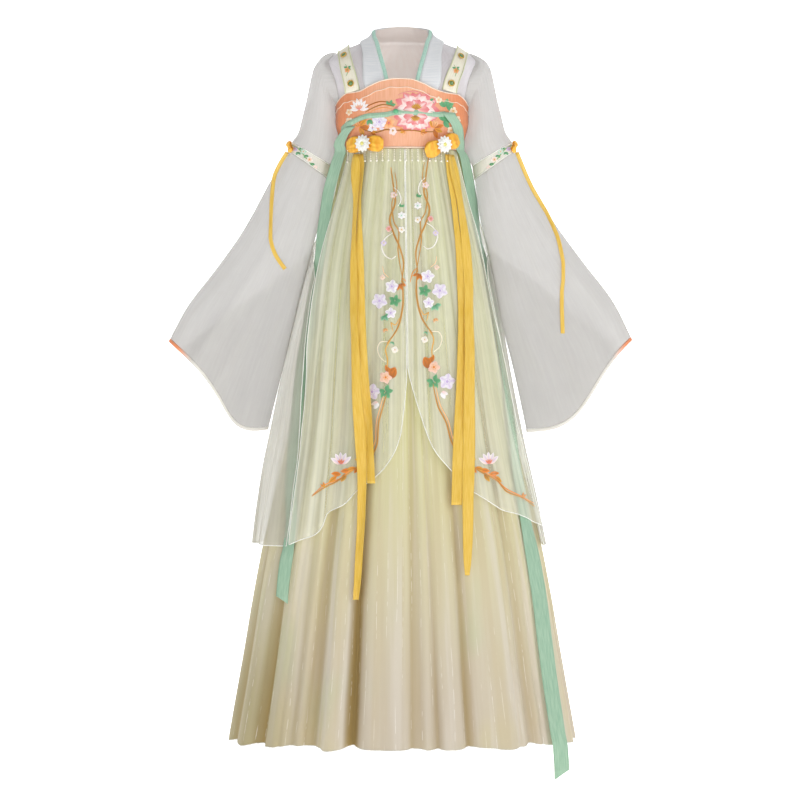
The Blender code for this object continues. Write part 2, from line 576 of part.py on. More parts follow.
def hung_strip(name, spots, count, width, finish):
    """A free ribbon by the side of the skirt. Its end is cut at a slant."""
    middle, across = hung_line(spots, count)
    columns = []
    for share in (-1, 0, 1):
        column = middle + across * share * width / 2
        column[-1, 2] += share * width * 0.33
        columns.append(column)
    grid = np.stack(columns)
    cloth(name, grid if spots[0][0] > 0 else grid[::-1], CLOTH, False, finish)


def front_ribbon(name, spots, off, finish):
    """A ribbon in front of the overskirt, from distance across, height and width."""
    count = len(spots) + 4
    line = path([(x * 3, z, w) for x, z, w in spots], np.linspace(0, 1, count))
    columns = []
    for share in (-1, 0, 1):
        x, z = line[:, 0] / 3 + share * line[:, 2] / 2, line[:, 1]
        angle = angle_at(x, curve(SKIRT_WIDTH, z))
        angle = np.where(z < SEAM_Z, angle, angle_at(x, curve(SKIRT_WIDTH, SEAM_Z)))
        columns.append(skirt(angle, z, stand_off(angle, z) + off + 3 * np.clip((-z - 500) / 250, 0, 1)))
    cloth(name, np.stack(columns), CLOTH, False, finish)


def seam_bow(name, x, z, tilt, finish, finish_flower):
    """A bow on the bodice's seam with a silk flower on it."""
    angle = float(angle_at(np.float64(x), curve(BODICE_WIDTH, z)))
    spot, out = bodice(np.float64(angle), float(z)), bodice(np.float64(angle), float(z), 1.0)
    facing = out - spot
    facing[2] = 0
    bow("bow_" + name, spot + facing * (8.7 if x < 0 else 11.0), facing, 42, 14, 2.2, 6.5, tilt, finish)
    disc("flower_" + name, spot + facing * (17.3 if x < 0 else 19.6), facing, 18, 4, 24, finish_flower, 0.3, 1.5)


for old in list(bpy.data.objects):
    bpy.data.objects.remove(old)

sheer_white = paint("sheer_white", (0.82, 0.81, 0.84))
sleeve_cloth = paint("sleeve_cloth", (0.86, 0.85, 0.84))
collar_cloth = paint("collar_cloth", (0.72, 0.78, 0.82))
finish_trim = paint("mint_trim", (0.45, 0.68, 0.52))
beige = paint("beige_lining", (0.66, 0.58, 0.52))
peach = paint("peach", (0.80, 0.40, 0.20))
peach_back = paint("peach_back", (0.78, 0.38, 0.19))
strap_cloth = paint("strap_cloth", (0.83, 0.79, 0.62))
lace = paint("lace", (0.85, 0.83, 0.76))
green_skirt = paint("green_skirt", (0.62, 0.60, 0.42))
over_cloth = paint("over_cloth", (0.76, 0.80, 0.76))
mint = paint("mint", (0.38, 0.62, 0.48), 0.6)
yellow = paint("yellow", (0.84, 0.58, 0.06), 0.5)
silk = paint("silk", (0.90, 0.89, 0.84), 0.5)
gem = paint("gem", (0.30, 0.45, 0.28), 0.3)

jacket_front("jacket_front_left", -1, sheer_white)
jacket_front("jacket_front_right", 1, sheer_white)
jacket_back(sheer_white)
collar(collar_cloth)
neck_lining(beige)
upper_sleeve("sleeve_upper_left", -1, sleeve_cloth)
upper_sleeve("sleeve_upper_right", 1, sleeve_cloth)
elbow_band("elbow_band_left", -1, lace)
elbow_band("elbow_band_right", 1, lace)
lower_sleeve("left", TOP_LEFT, LOW_LEFT, BELLY_LEFT, sleeve_cloth, peach)
lower_sleeve("right", TOP_RIGHT, LOW_RIGHT, BELLY_RIGHT, sleeve_cloth, peach)
sleeve_ribbon("sleeve_ribbon_left", SLEEVE_RIBBON_LEFT, TOP_LEFT, LOW_LEFT, BELLY_LEFT, yellow)
sleeve_ribbon("sleeve_ribbon_right", SLEEVE_RIBBON_RIGHT, TOP_RIGHT, LOW_RIGHT, BELLY_RIGHT, yellow)
bow("sleeve_bow_left", (-223.8, -25.3, -195), (-0.8, -0.6, 0), 11, 6, 1.6, 3.5, 1.1, yellow)
bow("sleeve_bow_right", (223.6, -25.2, -195), (0.8, -0.6, 0), 11, 6, 1.6, 3.5, -1.1, yellow)

bodice_front(peach)
bodice_back(peach_back)
for side_name, points in (("left", STRAP_LEFT), ("right", STRAP_RIGHT)):
    line, out, across = strap("strap_" + side_name, points, strap_cloth)
    for number, at in ((1, 1), (2, 5)):
        disc(f"button_{side_name}_{number}", line[at] + out[at] * 2.7, out[at], 7, 3, 12, gem)
belt(mint)

main_skirt(green_skirt)
over_panel("overskirt_left", SLIT_LEFT, [(-1000, 2.0), (-204, 2.0)], PANEL_LEFT, over_cloth)
over_panel("overskirt_right", [(-1000, 2.6), (-204, 2.6)], SLIT_RIGHT, PANEL_RIGHT, over_cloth, 10)
over_panel("overskirt_back", SLIT_RIGHT_BACK, [(z, a + 360) for z, a in SLIT_LEFT_BACK], [(0, BACK_HEM), (400, BACK_HEM)],
           over_cloth)
hung_strip("tie_left", TIE_LEFT, 30, TIE_LEFT_WIDTH, mint)
hung_strip("tie_right", TIE_RIGHT, 36, TIE_RIGHT_WIDTH, mint)
seam_bow("left", -69, -194, 0.0, yellow, silk)
seam_bow("right", 73, -196, -0.35, yellow, silk)
front_ribbon("ribbon_left_long", RIBBON_LEFT_LONG, 7.2, yellow)
front_ribbon("ribbon_left_short", RIBBON_LEFT_SHORT, 3, yellow)
front_ribbon("ribbon_right_long", RIBBON_RIGHT_LONG, 4.8, yellow)
front_ribbon("ribbon_right_short", RIBBON_RIGHT_SHORT, 2.3, yellow)
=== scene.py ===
"""The cloth, trims and setting of a chest-high Tang robe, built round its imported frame.

X is to the right as seen from the front, -Y is the front, +Z is up. Tables and form functions are in
millimetres, as they are in the frame's own source; meshes are in metres.
"""

import math

import bpy
import numpy as np
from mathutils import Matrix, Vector
from mathutils.bvhtree import BVHTree


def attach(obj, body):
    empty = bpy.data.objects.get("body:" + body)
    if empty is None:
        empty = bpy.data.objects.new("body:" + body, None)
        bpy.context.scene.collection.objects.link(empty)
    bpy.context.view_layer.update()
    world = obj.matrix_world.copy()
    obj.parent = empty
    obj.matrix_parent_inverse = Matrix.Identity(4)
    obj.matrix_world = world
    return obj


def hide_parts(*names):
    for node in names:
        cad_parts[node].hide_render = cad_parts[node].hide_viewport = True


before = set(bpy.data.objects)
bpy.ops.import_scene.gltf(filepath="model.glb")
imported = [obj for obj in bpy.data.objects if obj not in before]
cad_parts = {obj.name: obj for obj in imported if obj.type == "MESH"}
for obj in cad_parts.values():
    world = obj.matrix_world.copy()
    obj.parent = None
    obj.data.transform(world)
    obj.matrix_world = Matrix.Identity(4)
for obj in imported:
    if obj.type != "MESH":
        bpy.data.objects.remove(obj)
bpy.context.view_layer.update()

MM = 0.001
SQUARE = 0.94  # 1 is an ellipse; less is a squarer ring

COARSE = bool(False)
FINE = 0.5 if COARSE else 1.0
AROUND = np.radians(np.arange(0, 360, 8 if COARSE else 4))
INWARD = (1 - np.cos(AROUND)) / 2  # 0 at a sleeve's upper edge, and 1 at its inner one
NOISE_CELLS = 256

GATHERS = 24  # round the skirt seam
GATHERS_END = -640  # where the seam's gathers have run out
GATHER_RISE, WAVE_RISE = 2.4, 3.0  # of the gathers, and of the loose waves below them
HEM_Z = -1375
SEAM_Z = -204

# Walls of the pieces that show both their faces, in millimetres.
LINED_WALL, BAND_WALL, TRIM_WALL, BELT_WALL = 1.6, 1.2, 1.0, 0.8
RIBBON_WALL, ORGANZA_WALL, PETAL_WALL = 0.6, 0.5, 0.4

# Half width, and depth in front and behind, at a height.
TORSO_WIDTH = [(-400, 116), (-300, 108), (-205, 106), (-160, 116), (-130, 122), (-106, 126), (-84, 136),
               (-70, 143), (-56, 149), (-44, 153), (-34, 154), (-26, 151), (-14, 138), (-7, 126), (0, 111),
               (14, 83), (28, 61), (36, 54)]
TORSO_FRONT = [(-400, 94), (-205, 89), (-150, 99), (-106, 101), (-80, 98), (-60, 90), (-40, 79), (-20, 65),
               (0, 48), (20, 26), (36, 8)]
TORSO_BACK = [(-400, 92), (-205, 82), (-106, 92), (-70, 92), (-40, 88), (-20, 82), (0, 73), (20, 62),
              (36, 56)]
BODICE_WIDTH = [(-206, 113), (-190, 121), (-170, 127), (-146, 132), (-120, 132), (-60, 131)]
BODICE_FRONT = [(-206, 98), (-150, 107), (-110, 109), (-60, 108)]
BODICE_BACK = [(-206, 90), (-150, 98), (-100, 101)]
SKIRT_WIDTH = [(-1372, 350), (-1300, 337), (-1200, 319), (-1100, 302), (-1000, 283), (-900, 260),
               (-800, 235), (-700, 214), (-600, 195), (-500, 176), (-400, 156), (-300, 133), (-204, 113)]
SKIRT_FRONT = [(-1372, 264), (-1200, 240), (-1000, 214), (-800, 188), (-600, 162), (-400, 132), (-204, 98)]
SKIRT_BACK = [(-1372, 268), (-1200, 244), (-1000, 216), (-800, 188), (-600, 160), (-400, 128), (-204, 90)]
# How far the overskirt stands off the skirt in front, at its left and at its right.
OVER_FRONT = [(-1000, 11), (-400, 10), (-300, 8), (-204, 3)]
OVER_LEFT = [(-1000, 22), (-900, 31), (-800, 38), (-700, 38), (-600, 35), (-500, 28), (-400, 21),
             (-300, 12), (-204, 3)]
OVER_RIGHT = [(-1000, 9), (-940, 10), (-860, 12), (-800, 13), (-600, 14), (-400, 14), (-300, 9), (-204, 3)]

# Folds of the skirt: angle from the front, spread, depth (below 0 a valley), height where it fades out.
FOLDS = [(-16, 3.6, -26, -420), (-22.5, 4.0, 9, -500), (-29, 3.2, -17, -380), (-38, 3.4, -12, -520),
         (-53, 4.5, -17, -330), (-62, 4.0, 7, -600), (-74, 4.5, -13, -420), (4.5, 2.6, -9, -300),
         (10.5, 2.6, -8, -560), (21.5, 3.0, -10, -640), (34, 5.0, 6, -520), (47, 3.6, -18, -380),
         (66, 3.6, -6, -480), (81, 4.0, -9, -560), (97, 4.5, -15, -400), (112, 4.0, -12, -520),
         (126, 4.5, -18, -360), (141, 4.0, -11, -560), (155, 4.5, -16, -420), (169, 4.0, -13, -340),
         (183, 4.5, -17, -460), (197, 4.0, -12, -400), (212, 4.5, -18, -500), (227, 4.0, -12, -360),
         (241, 4.5, -16, -440), (256, 4.0, -12, -520), (269, 4.0, -10, -460)]
# Sharp creases of the skirt: angle at the hem, angle where it fades out, spread, depth, and that height.
CREASES = [(-15.2, -17.0, 0.9, -7.0, -560), (-18.6, -18.0, 1.1, 6.0, -700), (-26.0, -24.0, 1.0, -5.5, -760),
           (-32.5, -30.0, 1.3, -6.5, -620), (-43.0, -40.0, 1.2, -5.0, -520), (-49.0, -52.0, 1.4, 4.5, -760),
           (-57.0, -58.0, 1.5, -6.0, -480), (2.6, 3.4, 0.9, -6.0, -430), (7.2, 7.4, 1.1, 3.0, -700),
           (10.6, 9.2, 0.8, -5.5, -640), (14.8, 13.0, 1.2, -2.4, -860), (20.4, 21.8, 0.9, -5.0, -760),
           (40.0, 42.0, 1.4, -4.5, -560), (52.5, 50.5, 1.1, -6.5, -420), (58.0, 56.0, 1.3, 4.0, -640),
           (-6.0, -8.0, 1.2, -2.2, -900), (29.5, 30.5, 1.2, -2.8, -980), (63.0, 62.0, 1.2, -5.5, -560)]

# Top edge of the bodice across the front, then the lower edge of each front panel of the overskirt by angle.
BODICE_TOP = [(-132, -112), (-124, -103), (-108, -93), (-84, -91), (-60, -80), (-36, -71), (-12, -67),
              (14, -68), (38, -76), (62, -87), (84, -93), (108, -95), (124, -104), (132, -115)]
PANEL_RIGHT = [(2.5, -640), (7, -712), (13.7, -798), (21.7, -838), (32, -886), (48.6, -917), (62, -934),
               (72, -948)]
PANEL_LEFT = [(-72, -990), (-52, -986), (-36, -962), (-33, -950), (-31, -918), (-22.7, -902), (-18, -874),
              (-9, -842), (-3.4, -806), (-0.5, -768), (2, -660)]
# Side edges of the panels by height, and the edges that meet down the middle of the front.
SLIT_LEFT = [(-1000, -49.8), (-800, -51.8), (-600, -57.3), (-400, -64), (-204, -67)]
SLIT_LEFT_BACK = [(-1000, -51.2), (-800, -53.4), (-600, -59.4), (-460, -68), (-370, -94), (-204, -96)]
SLIT_RIGHT = [(-1000, 72), (-400, 71), (-204, 69)]
SLIT_RIGHT_BACK = [(-1000, 73.5), (-460, 73.5), (-370, 94), (-204, 96)]
MIDDLE_LEFT, MIDDLE_RIGHT = [(-1000, 2.0), (SEAM_Z, 2.0)], [(-1000, 2.6), (SEAM_Z, 2.6)]
BACK_HEM = -986
OVER_STEP = 0.75  # degrees between the columns of an overskirt panel

ARMHOLE_Z, ARMHOLE_RISE, ARMHOLE_DEPTH = -67, 39, 43
SEAM_TURN = 3.0  # degrees of the jacket that lie under the sleeve's seam
SIDE_SEAM = 89.8  # where front and back of the jacket meet, in degrees from the front
# How far the gathered shoulder stands up beside the straps, and the sleeve's head reaches up it.
SHOULDER_RISE, HEAD_CLIMB = 3.5, 19
SHOULDER_START, SHOULDER_LOW = 88, -44  # distance from the middle, and height, at which that rise starts
JACKET_TOP, JACKET_LOW = 17, -400
# Sleeve, from head to elbow band: outer point, inner point, half depth.
UPPER = [((170, -26), (136.4, -110.5), 48), ((179, -50), (135.6, -129), 50),
         ((187, -86), (135.6, -151), 48), ((197, -128), (133, -179), 45), ((208, -164), (134, -206), 42),
         ((220, -186), (141, -232), 40)]
BAND_END = ((227, -201), (145, -259), 42)
# How far the inner edge of an upper sleeve leans on the bodice, at each height.
SNUG = [(-228, 0), (-210, 6), (-195, 9), (-180, 9), (-160, 7), (-140, 5), (-115, 4), (-95, 2), (-80, 0)]
# Sleeve below the band: its upper edge and its edge beside the skirt, then the belly of the cuff.
TOP_LEFT = [(-227.4, -201.6), (-261, -260), (-317, -362), (-371, -439), (-429, -515), (-463, -577)]
LOW_LEFT = [(-145.3, -259.7), (-161, -330), (-183, -420), (-213, -540), (-241, -655), (-265, -752)]
TOP_RIGHT = [(227.5, -201.6), (247, -250), (303, -344), (363, -427), (422, -505), (457, -574)]
LOW_RIGHT = [(145.3, -259.7), (154, -330), (174, -420), (197, -540), (223, -645), (247, -757)]
BELLY_LEFT, BELLY_RIGHT = (35, 3.0), (40, 1.9)
SLEEVE_LEAN = 34  # how far forward the inner edge of a sleeve hangs
SLEEVE_HEAD = {-1: 10, 1: 2}  # rise of each sleeve's gathered head
# Loss of half depth down a lower sleeve, its swell halfway, and the depth of its waves.
CUFF_THINS, ELBOW_FILLS, SLEEVE_WAVE = 6, 8, 4.5
# Long folds of a lower sleeve: where each starts and ends, from its upper edge at 0 to its inner one at 1,
# then its spread and its rise.
SLEEVE_FOLDS = [(0.30, 0.06, 0.045, 5.5), (0.55, 0.26, 0.05, 6.0), (0.72, 0.52, 0.04, 4.5),
                (0.88, 0.80, 0.04, 4.0)]

COLLAR_IN = [(60, 5, 37), (57, -8, 26), (53, -24, 10), (49, -42, -10), (43, -60, -32), (35, -80, -64),
             (27, -92, -100), (22, -96, -135)]
COLLAR_OUT = [(80, 4, 19), (80, -14, 13), (79, -30, 0), (77, -46, -16), (77, -60, -34), (76, -78, -66),
              (64, -88, -100), (56, -90, -135)]
COLLAR_BACK_IN = [(0, 53, 52), (22, 51, 51), (41, 41, 48), (54, 25, 43)]
COLLAR_BACK_OUT = [(0, 65, 22), (30, 61, 21), (56, 47, 19), (73, 26, 17)]
# How far each point of the collar stands off the jacket, and how far its band is rounded.
COLLAR_LIFT = np.array([5.4, 5.1, 4.8, 4.6, 4.3, 3.8, 3.5, 3.3])
COLLAR_BULGE = 0.9
# Height, half width and depth of the lining behind the neck, and the fall of its edge towards its sides.
NECK_LINING = [(-112, 112, 84), (-70, 124, 85), (-30, 124, 80), (0, 90, 67), (20, 67, 60.4),
               (36, 54.6, 50.3), (52, 49.5, 47.6)]
LINING_FALL = 12

BELT = [(-119, -165), (-110, -158), (-96, -150), (-82, -144), (-68, -140), (-50, -139), (-32, -138),
        (-12, -134), (10, -134), (30, -134), (50, -135), (66, -137), (84, -135)]
# Each tie hangs by the side: angle, height, distance off, and how far it is turned from lying flat towards
# the front. A degree round the side counts as so many millimetres of its length.
SIDE_DEGREE = 2.5
SEAM_BLEND = 16  # height over which a tie passes from the bodice to the skirt
TIE_LEFT_WIDTH, TIE_RIGHT_WIDTH = 25, 30
TIE_LEFT = [(-48.5, -158.6, 3.9, 0), (-60, -176, 9, 20), (-66, -196, 18, 34), (-68, -218, 22, 42),
            (-70, -252, 24, 48), (-72, -290, 24, 48), (-72, -326, 22, 46), (-72, -363, 20, 42),
            (-72, -398, 16, 36), (-74, -440, 12, 30), (-76, -500, 12, 32), (-73, -560, 13, 36),
            (-67, -640, 14, 38), (-62, -720, 14, 36), (-59, -800, 14, 32), (-55, -900, 13, 24),
            (-51.5, -960, 12.5, 14), (-50.5, -987, 13, 14), (-50, -1016, 15, 40), (-47.5, -1090, 18, 62)]
TIE_RIGHT = [(41, -132, 5.6, 0), (45.5, -143, 4.6, 0), (55, -161, 4.2, 4), (63, -186, 5, 6),
             (72, -204, 8, 12), (78, -222, 11, 24), (80, -250, 12, 30), (80, -290, 11, 28),
             (81, -330, 9, 20), (81, -376, 5.2, 8), (83, -440, 7, 12), (83, -500, 7, 13), (82, -560, 7, 13),
             (77, -640, 6, 8), (73, -700, 6, 7), (69, -780, 6.5, 7), (64, -860, 7.5, 6), (61, -930, 8.5, 8),
             (59.5, -1000, 12, 26), (58.5, -1080, 15, 36), (57.2, -1167, 17, 40), (56.3, -1270, 18, 40),
             (56, -1347, 19, 40), (57, -1400, 19, 40), (57.6, -1432, 19, 40)]
# Ribbons over the overskirt: distance from the middle, height, width. Steps sideways count more than down.
ACROSS_WEIGHT = 3
RIBBON_LEFT_LONG = [(-84, -214, 10), (-84, -228, 14), (-83, -262, 13), (-83, -310, 8), (-84, -370, 8),
                    (-85, -440, 12), (-86, -520, 14), (-83, -600, 15), (-81, -680, 15), (-76, -780, 17),
                    (-75, -840, 16), (-77, -920, 16), (-82, -1000, 15), (-86, -1060, 13), (-89, -1087, 10)]
RIBBON_LEFT_SHORT = [(-78, -214, 8), (-76, -240, 11), (-77, -300, 8), (-76, -400, 12), (-75, -520, 15),
                     (-71, -640, 16), (-63, -760, 17), (-58, -862, 16)]
RIBBON_RIGHT_LONG = [(90, -214, 12), (95, -250, 16), (104, -310, 11), (115, -400, 13), (122, -500, 17),
                     (122, -600, 20), (121, -700, 20), (121, -800, 20), (121, -880, 20), (122, -950, 18),
                     (122, -1010, 14), (122, -1040, 8)]
RIBBON_RIGHT_SHORT = [(84, -214, 8), (89, -260, 10), (97, -330, 9), (106, -420, 11), (110, -520, 14),
                      (109, -640, 18), (105, -760, 20), (102, -904, 19)]
SLEEVE_RIBBON_LEFT = [(-229, -206), (-247, -236), (-256, -262), (-260, -324), (-261, -376), (-252, -410),
                      (-232, -440)]
SLEEVE_RIBBON_RIGHT = [(229, -206), (256, -270), (294, -338), (313, -388), (321, -444), (317, -496),
                       (319, -568)]
# Width of a strap, its flare at the bodice, and the share of its length over which it flares.
STRAP_WIDTH, STRAP_FLARE, STRAP_FLARE_END = 25, 6, 0.42
STRAP_STATIONS = 18
# Straps: distance across, height, and -1 in front or 1 behind.
STRAP_LEFT = [(-96, -90.3, -1), (-100, -70, -1), (-106, -48, -1), (-111, -24, -1), (-114, -7, -1),
              (-115, -1, 1), (-113, -10, 1), (-108, -30, 1), (-103, -56, 1), (-98, -82, 1), (-96, -104, 1)]
STRAP_RIGHT = [(92, -90.4, -1), (97, -70, -1), (106, -48, -1), (113, -24, -1), (117, -9, -1), (118, -3, 1),
               (116, -12, 1), (110, -32, 1), (104, -58, 1), (98, -82, 1), (96, -104, 1)]

BUTTON_RADIUS, GEM_ARC = 7.0, 1.35  # the arc, in radians, is the part of a ball that the stone shows
BEAD_WIDE, BEAD_DEEP = 5.2, 4.4  # half sizes of the bead on the belt
LOOP_WIDEST = 0.62  # share of a bow loop's reach at which it is widest
KNOT_HALF = 5.5
# Petals of a silk flower, outer ring first: count, reach, half width, rise, lift and turn.
PETAL_RINGS = [(12, 18, 4.6, 2.0, 0, 0.0), (10, 13.5, 4.2, 3.6, 2.0, 0.3)]


def curve(table, x):
    """A smooth curve through a short table of pairs, with no overshoot between them."""
    keys = np.array(sorted(table), float)
    xs, ys = keys[:, 0], keys[:, 1]
    rise = np.diff(ys) / np.diff(xs)
    slope = np.concatenate([rise[:1], np.zeros(len(xs) - 2), rise[-1:]])
    same = rise[:-1] * rise[1:] > 0
    slope[1:-1] = np.where(same, 2 * rise[:-1] * rise[1:] / np.where(same, rise[:-1] + rise[1:], 1), 0)
    x = np.clip(x, xs[0], xs[-1])
    i = np.clip(np.searchsorted(xs, x, side="right") - 1, 0, len(xs) - 2)
    step = xs[i + 1] - xs[i]
    t = (x - xs[i]) / step
    return ((2 * t**3 - 3 * t**2 + 1) * ys[i] + (t**3 - 2 * t**2 + t) * step * slope[i]
            + (3 * t**2 - 2 * t**3) * ys[i + 1] + (t**3 - t**2) * step * slope[i + 1])


def run_of(points):
    """How far along its line each point is."""
    return np.concatenate([[0], np.cumsum(np.linalg.norm(np.diff(points, axis=0), axis=1))])


def curves(keys, rows, at):
    """Each column of some rows, as a smooth curve over their keys."""
    return np.stack([curve(list(zip(keys, rows[:, k])), at) for k in range(rows.shape[1])], axis=-1)


def path(points, t):
    """Points at fractions t of the length of a smooth path through the given ones."""
    points = np.array(points, float)
    run = run_of(points[:, :2])
    return curves(run / run[-1], points, t)


def evenly(points, count):
    """Evenly spaced points along a smooth line through the given ones."""
    points = np.asarray(points, float)
    run = run_of(points)
    return curves(run, points, np.linspace(0, run[-1], count))


def unit(vectors):
    """The same directions, each of length 1."""
    return vectors / np.linalg.norm(vectors, axis=-1, keepdims=True)


def all_round(step):
    """Angles all the way round, in radians. The step is in degrees."""
    return np.radians(np.arange(0, 360, step))


def circle(turn, right, up):
    """Directions at each turn from one direction towards another."""
    return np.cos(turn)[:, None] * right + np.sin(turn)[:, None] * up


def facing_frame(facing):
    """The ways out of a trim's face, to its right and up it."""
    facing = unit(np.array(facing, float))
    right = unit(np.cross(facing, (0, 0, 1.0)))
    return facing, right, np.cross(right, facing)


def ring(angle, width, front, back, off):
    """x and y on a closed ring, for angles in degrees from the front, and off by a distance outwards."""
    a = np.radians(angle)
    s, c = np.sin(a), np.cos(a)
    depth = np.where(c > 0, front, back)
    x = width * np.sign(s) * np.abs(s) ** SQUARE
    y = -depth * np.sign(c) * np.abs(c) ** SQUARE
    out_x, out_y = s * depth, -c * width
    size = np.hypot(out_x, out_y)
    return x + off * out_x / size, y + off * out_y / size


def angle_at(x, width):
    """The front angle at which a ring of this half width passes x."""
    share = np.clip(np.abs(x) / width, 0, 1) ** (1 / SQUARE)
    return np.sign(x) * np.degrees(np.arcsin(share))


def on_form(form, angle, z, off):
    """Points off a form that is given by its half width and its depths in front and behind."""
    width, front, back = (curve(table, z) for table in form)
    x, y = ring(angle, width, front, back, off)
    return np.stack(np.broadcast_arrays(x, y, z), axis=-1)


def torso(angle, z, off):
    return on_form((TORSO_WIDTH, TORSO_FRONT, TORSO_BACK), angle, z, off)


def bodice(angle, z, off=0.0):
    return on_form((BODICE_WIDTH, BODICE_FRONT, BODICE_BACK), angle, z, off)


def apart(angle, at):
    """How far an angle is past another, from -180 to 180 degrees."""
    return (angle - at + 180) % 360 - 180


def fold(angle, z):
    """How far the skirt stands out at this angle and height: gathers at the seam, loose folds below."""
    angle, z = np.broadcast_arrays(np.asarray(angle, float), np.asarray(z, float))
    a = np.radians(angle)
    low = np.clip((z - SEAM_Z) / (GATHERS_END - SEAM_Z), 0, 1)
    waves = np.cos(GATHERS / 2 * a + 0.9 * np.sin(2 * a))
    out = GATHER_RISE * (1 - low) * np.cos(GATHERS * a) + WAVE_RISE * np.sin(math.pi * low) * waves
    for at, spread, depth, start in FOLDS:
        grow = np.clip((z - start) / (HEM_Z + 100 - start), 0, 1)
        out = out + depth * grow**0.8 * np.exp(-((apart(angle, at) / spread) ** 2))
    return out


def skirt(angle, z, off):
    return on_form((SKIRT_WIDTH, SKIRT_FRONT, SKIRT_BACK), angle, z, off + fold(angle, z))


def stand_off(angle, z):
    """How far the overskirt hangs off the skirt."""
    side = np.sin(np.radians(angle))
    wide = np.where(side < 0, curve(OVER_LEFT, z), curve(OVER_RIGHT, z))
    front = curve(OVER_FRONT, z)
    return front + (wide - front) * side**2


def torso_at(points, off):
    """Moves points out to the jacket's own surface, keeping x and z, and then off by a distance."""
    points = np.array(points, float)
    x, z = points[:, 0], points[:, 2]
    angle = angle_at(x, curve(TORSO_WIDTH, z))
    angle = np.where(points[:, 1] > 0, np.sign(x + 1e-9) * 180 - angle, angle)
    return torso(angle, z, off)


def armhole_edge(z, depth):
    """The angle of the armhole's edge at a height, or the side seam's outside the armhole."""
    half = ARMHOLE_DEPTH * np.sqrt(np.clip(1 - ((z - ARMHOLE_Z) / ARMHOLE_RISE) ** 2, 0, 1))
    return np.degrees(np.arccos(np.clip(half / depth, 0, 1) ** (1 / SQUARE)))


def section(top, low, depth, taper, centre=0.0, belly=(0, 1)):
    """A ring through an upper and a lower point. It bellies out to the cuff and thins to its lower edge."""
    top, low = np.array(top, float), np.array(low, float)
    chord = low - top
    out = np.array([-chord[1], chord[0]]) * np.sign(top[0]) / np.linalg.norm(chord)
    bulge = np.sin(math.pi * INWARD ** belly[1]) * belly[0]
    xz = top + np.outer(INWARD, chord) + np.outer(bulge, out)
    y = centre - depth * np.sin(AROUND) * (1 - taper * INWARD)
    return np.stack([xz[:, 0], y, xz[:, 1]], axis=-1)


def head_rise(side):
    """How far the gathered head of a sleeve stands up beyond its seam, round the armhole."""
    return SLEEVE_HEAD[side] * np.clip(np.cos(AROUND), 0, 1) ** 1.5


def lower_rings(top, low, belly, steps):
    """Rings of a flared sleeve, for each fraction of its length in steps."""
    rings = []
    for s, upper, lower in zip(steps, path(top, steps), path(low, steps)):
        depth = BAND_END[2] - CUFF_THINS * s + ELBOW_FILLS * math.sin(math.pi * s)
        row = section(upper, lower, depth, 0.1 + 0.55 * s, -4 * s, (belly[0] * s**1.5, belly[1]))
        row[:, 1] -= SLEEVE_LEAN * (1 - math.exp(-6 * s)) * INWARD**1.5
        wave = SLEEVE_WAVE * s * np.sin(3 * math.pi * INWARD + 1.2) * np.sin(math.pi * INWARD)
        row[:, 1] += wave * np.where(np.sin(AROUND) > 0, 1, 0.6)
        rings.append(row)
    return np.array(rings)


def hung_line(spots, count):
    """Where a free ribbon hangs: its middle line, and the way across it."""
    line = path([(a * SIDE_DEGREE, z, off, turn) for a, z, off, turn in spots], np.linspace(0, 1, count))
    angle, z, off, turn = line[:, 0] / SIDE_DEGREE, line[:, 1], line[:, 2], np.radians(line[:, 3])
    low = np.clip((SEAM_Z + SEAM_BLEND / 2 - z) / SEAM_BLEND, 0, 1)[:, None]

    def place(off):
        on_skirt = skirt(angle, np.minimum(z, SEAM_Z), off)
        on_bodice = bodice(angle, np.maximum(z, SEAM_Z), off)
        spot = on_skirt * low + on_bodice * (1 - low)
        spot[:, 2] = z
        return spot

    middle = place(off)
    out = place(off + 1) - middle
    out[:, 2] = 0
    out = unit(out)
    back = np.stack([-out[:, 1], out[:, 0], out[:, 2]], axis=-1) * np.sign(spots[0][0])
    return middle, back * np.cos(turn)[:, None] + out * np.sin(turn)[:, None]


def lining_level(x, z):
    """The lining's edge is highest behind the neck, and falls towards its sides."""
    return z - LINING_FALL * np.clip((z - 10) / 42, 0, 1) * (x / 50) ** 2


def strap_half(t):
    """Half the width of a strap, which flares towards the bodice in front."""
    return (STRAP_WIDTH + STRAP_FLARE * np.clip(1 - t / STRAP_FLARE_END, 0, 1)) / 2


# ---------------------------------------------------------------- meshes


def many(count):
    return max(4, int(count * FINE))


def noise(seed, u, v, wrap=0):
    """Smooth noise from -1 to 1 over cells of size 1. u repeats after wrap cells."""
    table = np.random.default_rng(seed).uniform(-1, 1, (NOISE_CELLS, NOISE_CELLS))
    u, v = np.broadcast_arrays(np.asarray(u, float), np.asarray(v, float))
    i, j = np.floor(u).astype(int), np.floor(v).astype(int)
    fu, fv = u - i, v - j
    fu, fv = fu * fu * (3 - 2 * fu), fv * fv * (3 - 2 * fv)
    cells = wrap or NOISE_CELLS
    i, k = i % cells, (i + 1) % cells
    j, m = j % NOISE_CELLS, (j + 1) % NOISE_CELLS
    upper = table[i, j] * (1 - fu) + table[k, j] * fu
    lower = table[i, m] * (1 - fu) + table[k, m] * fu
    return upper * (1 - fv) + lower * fv


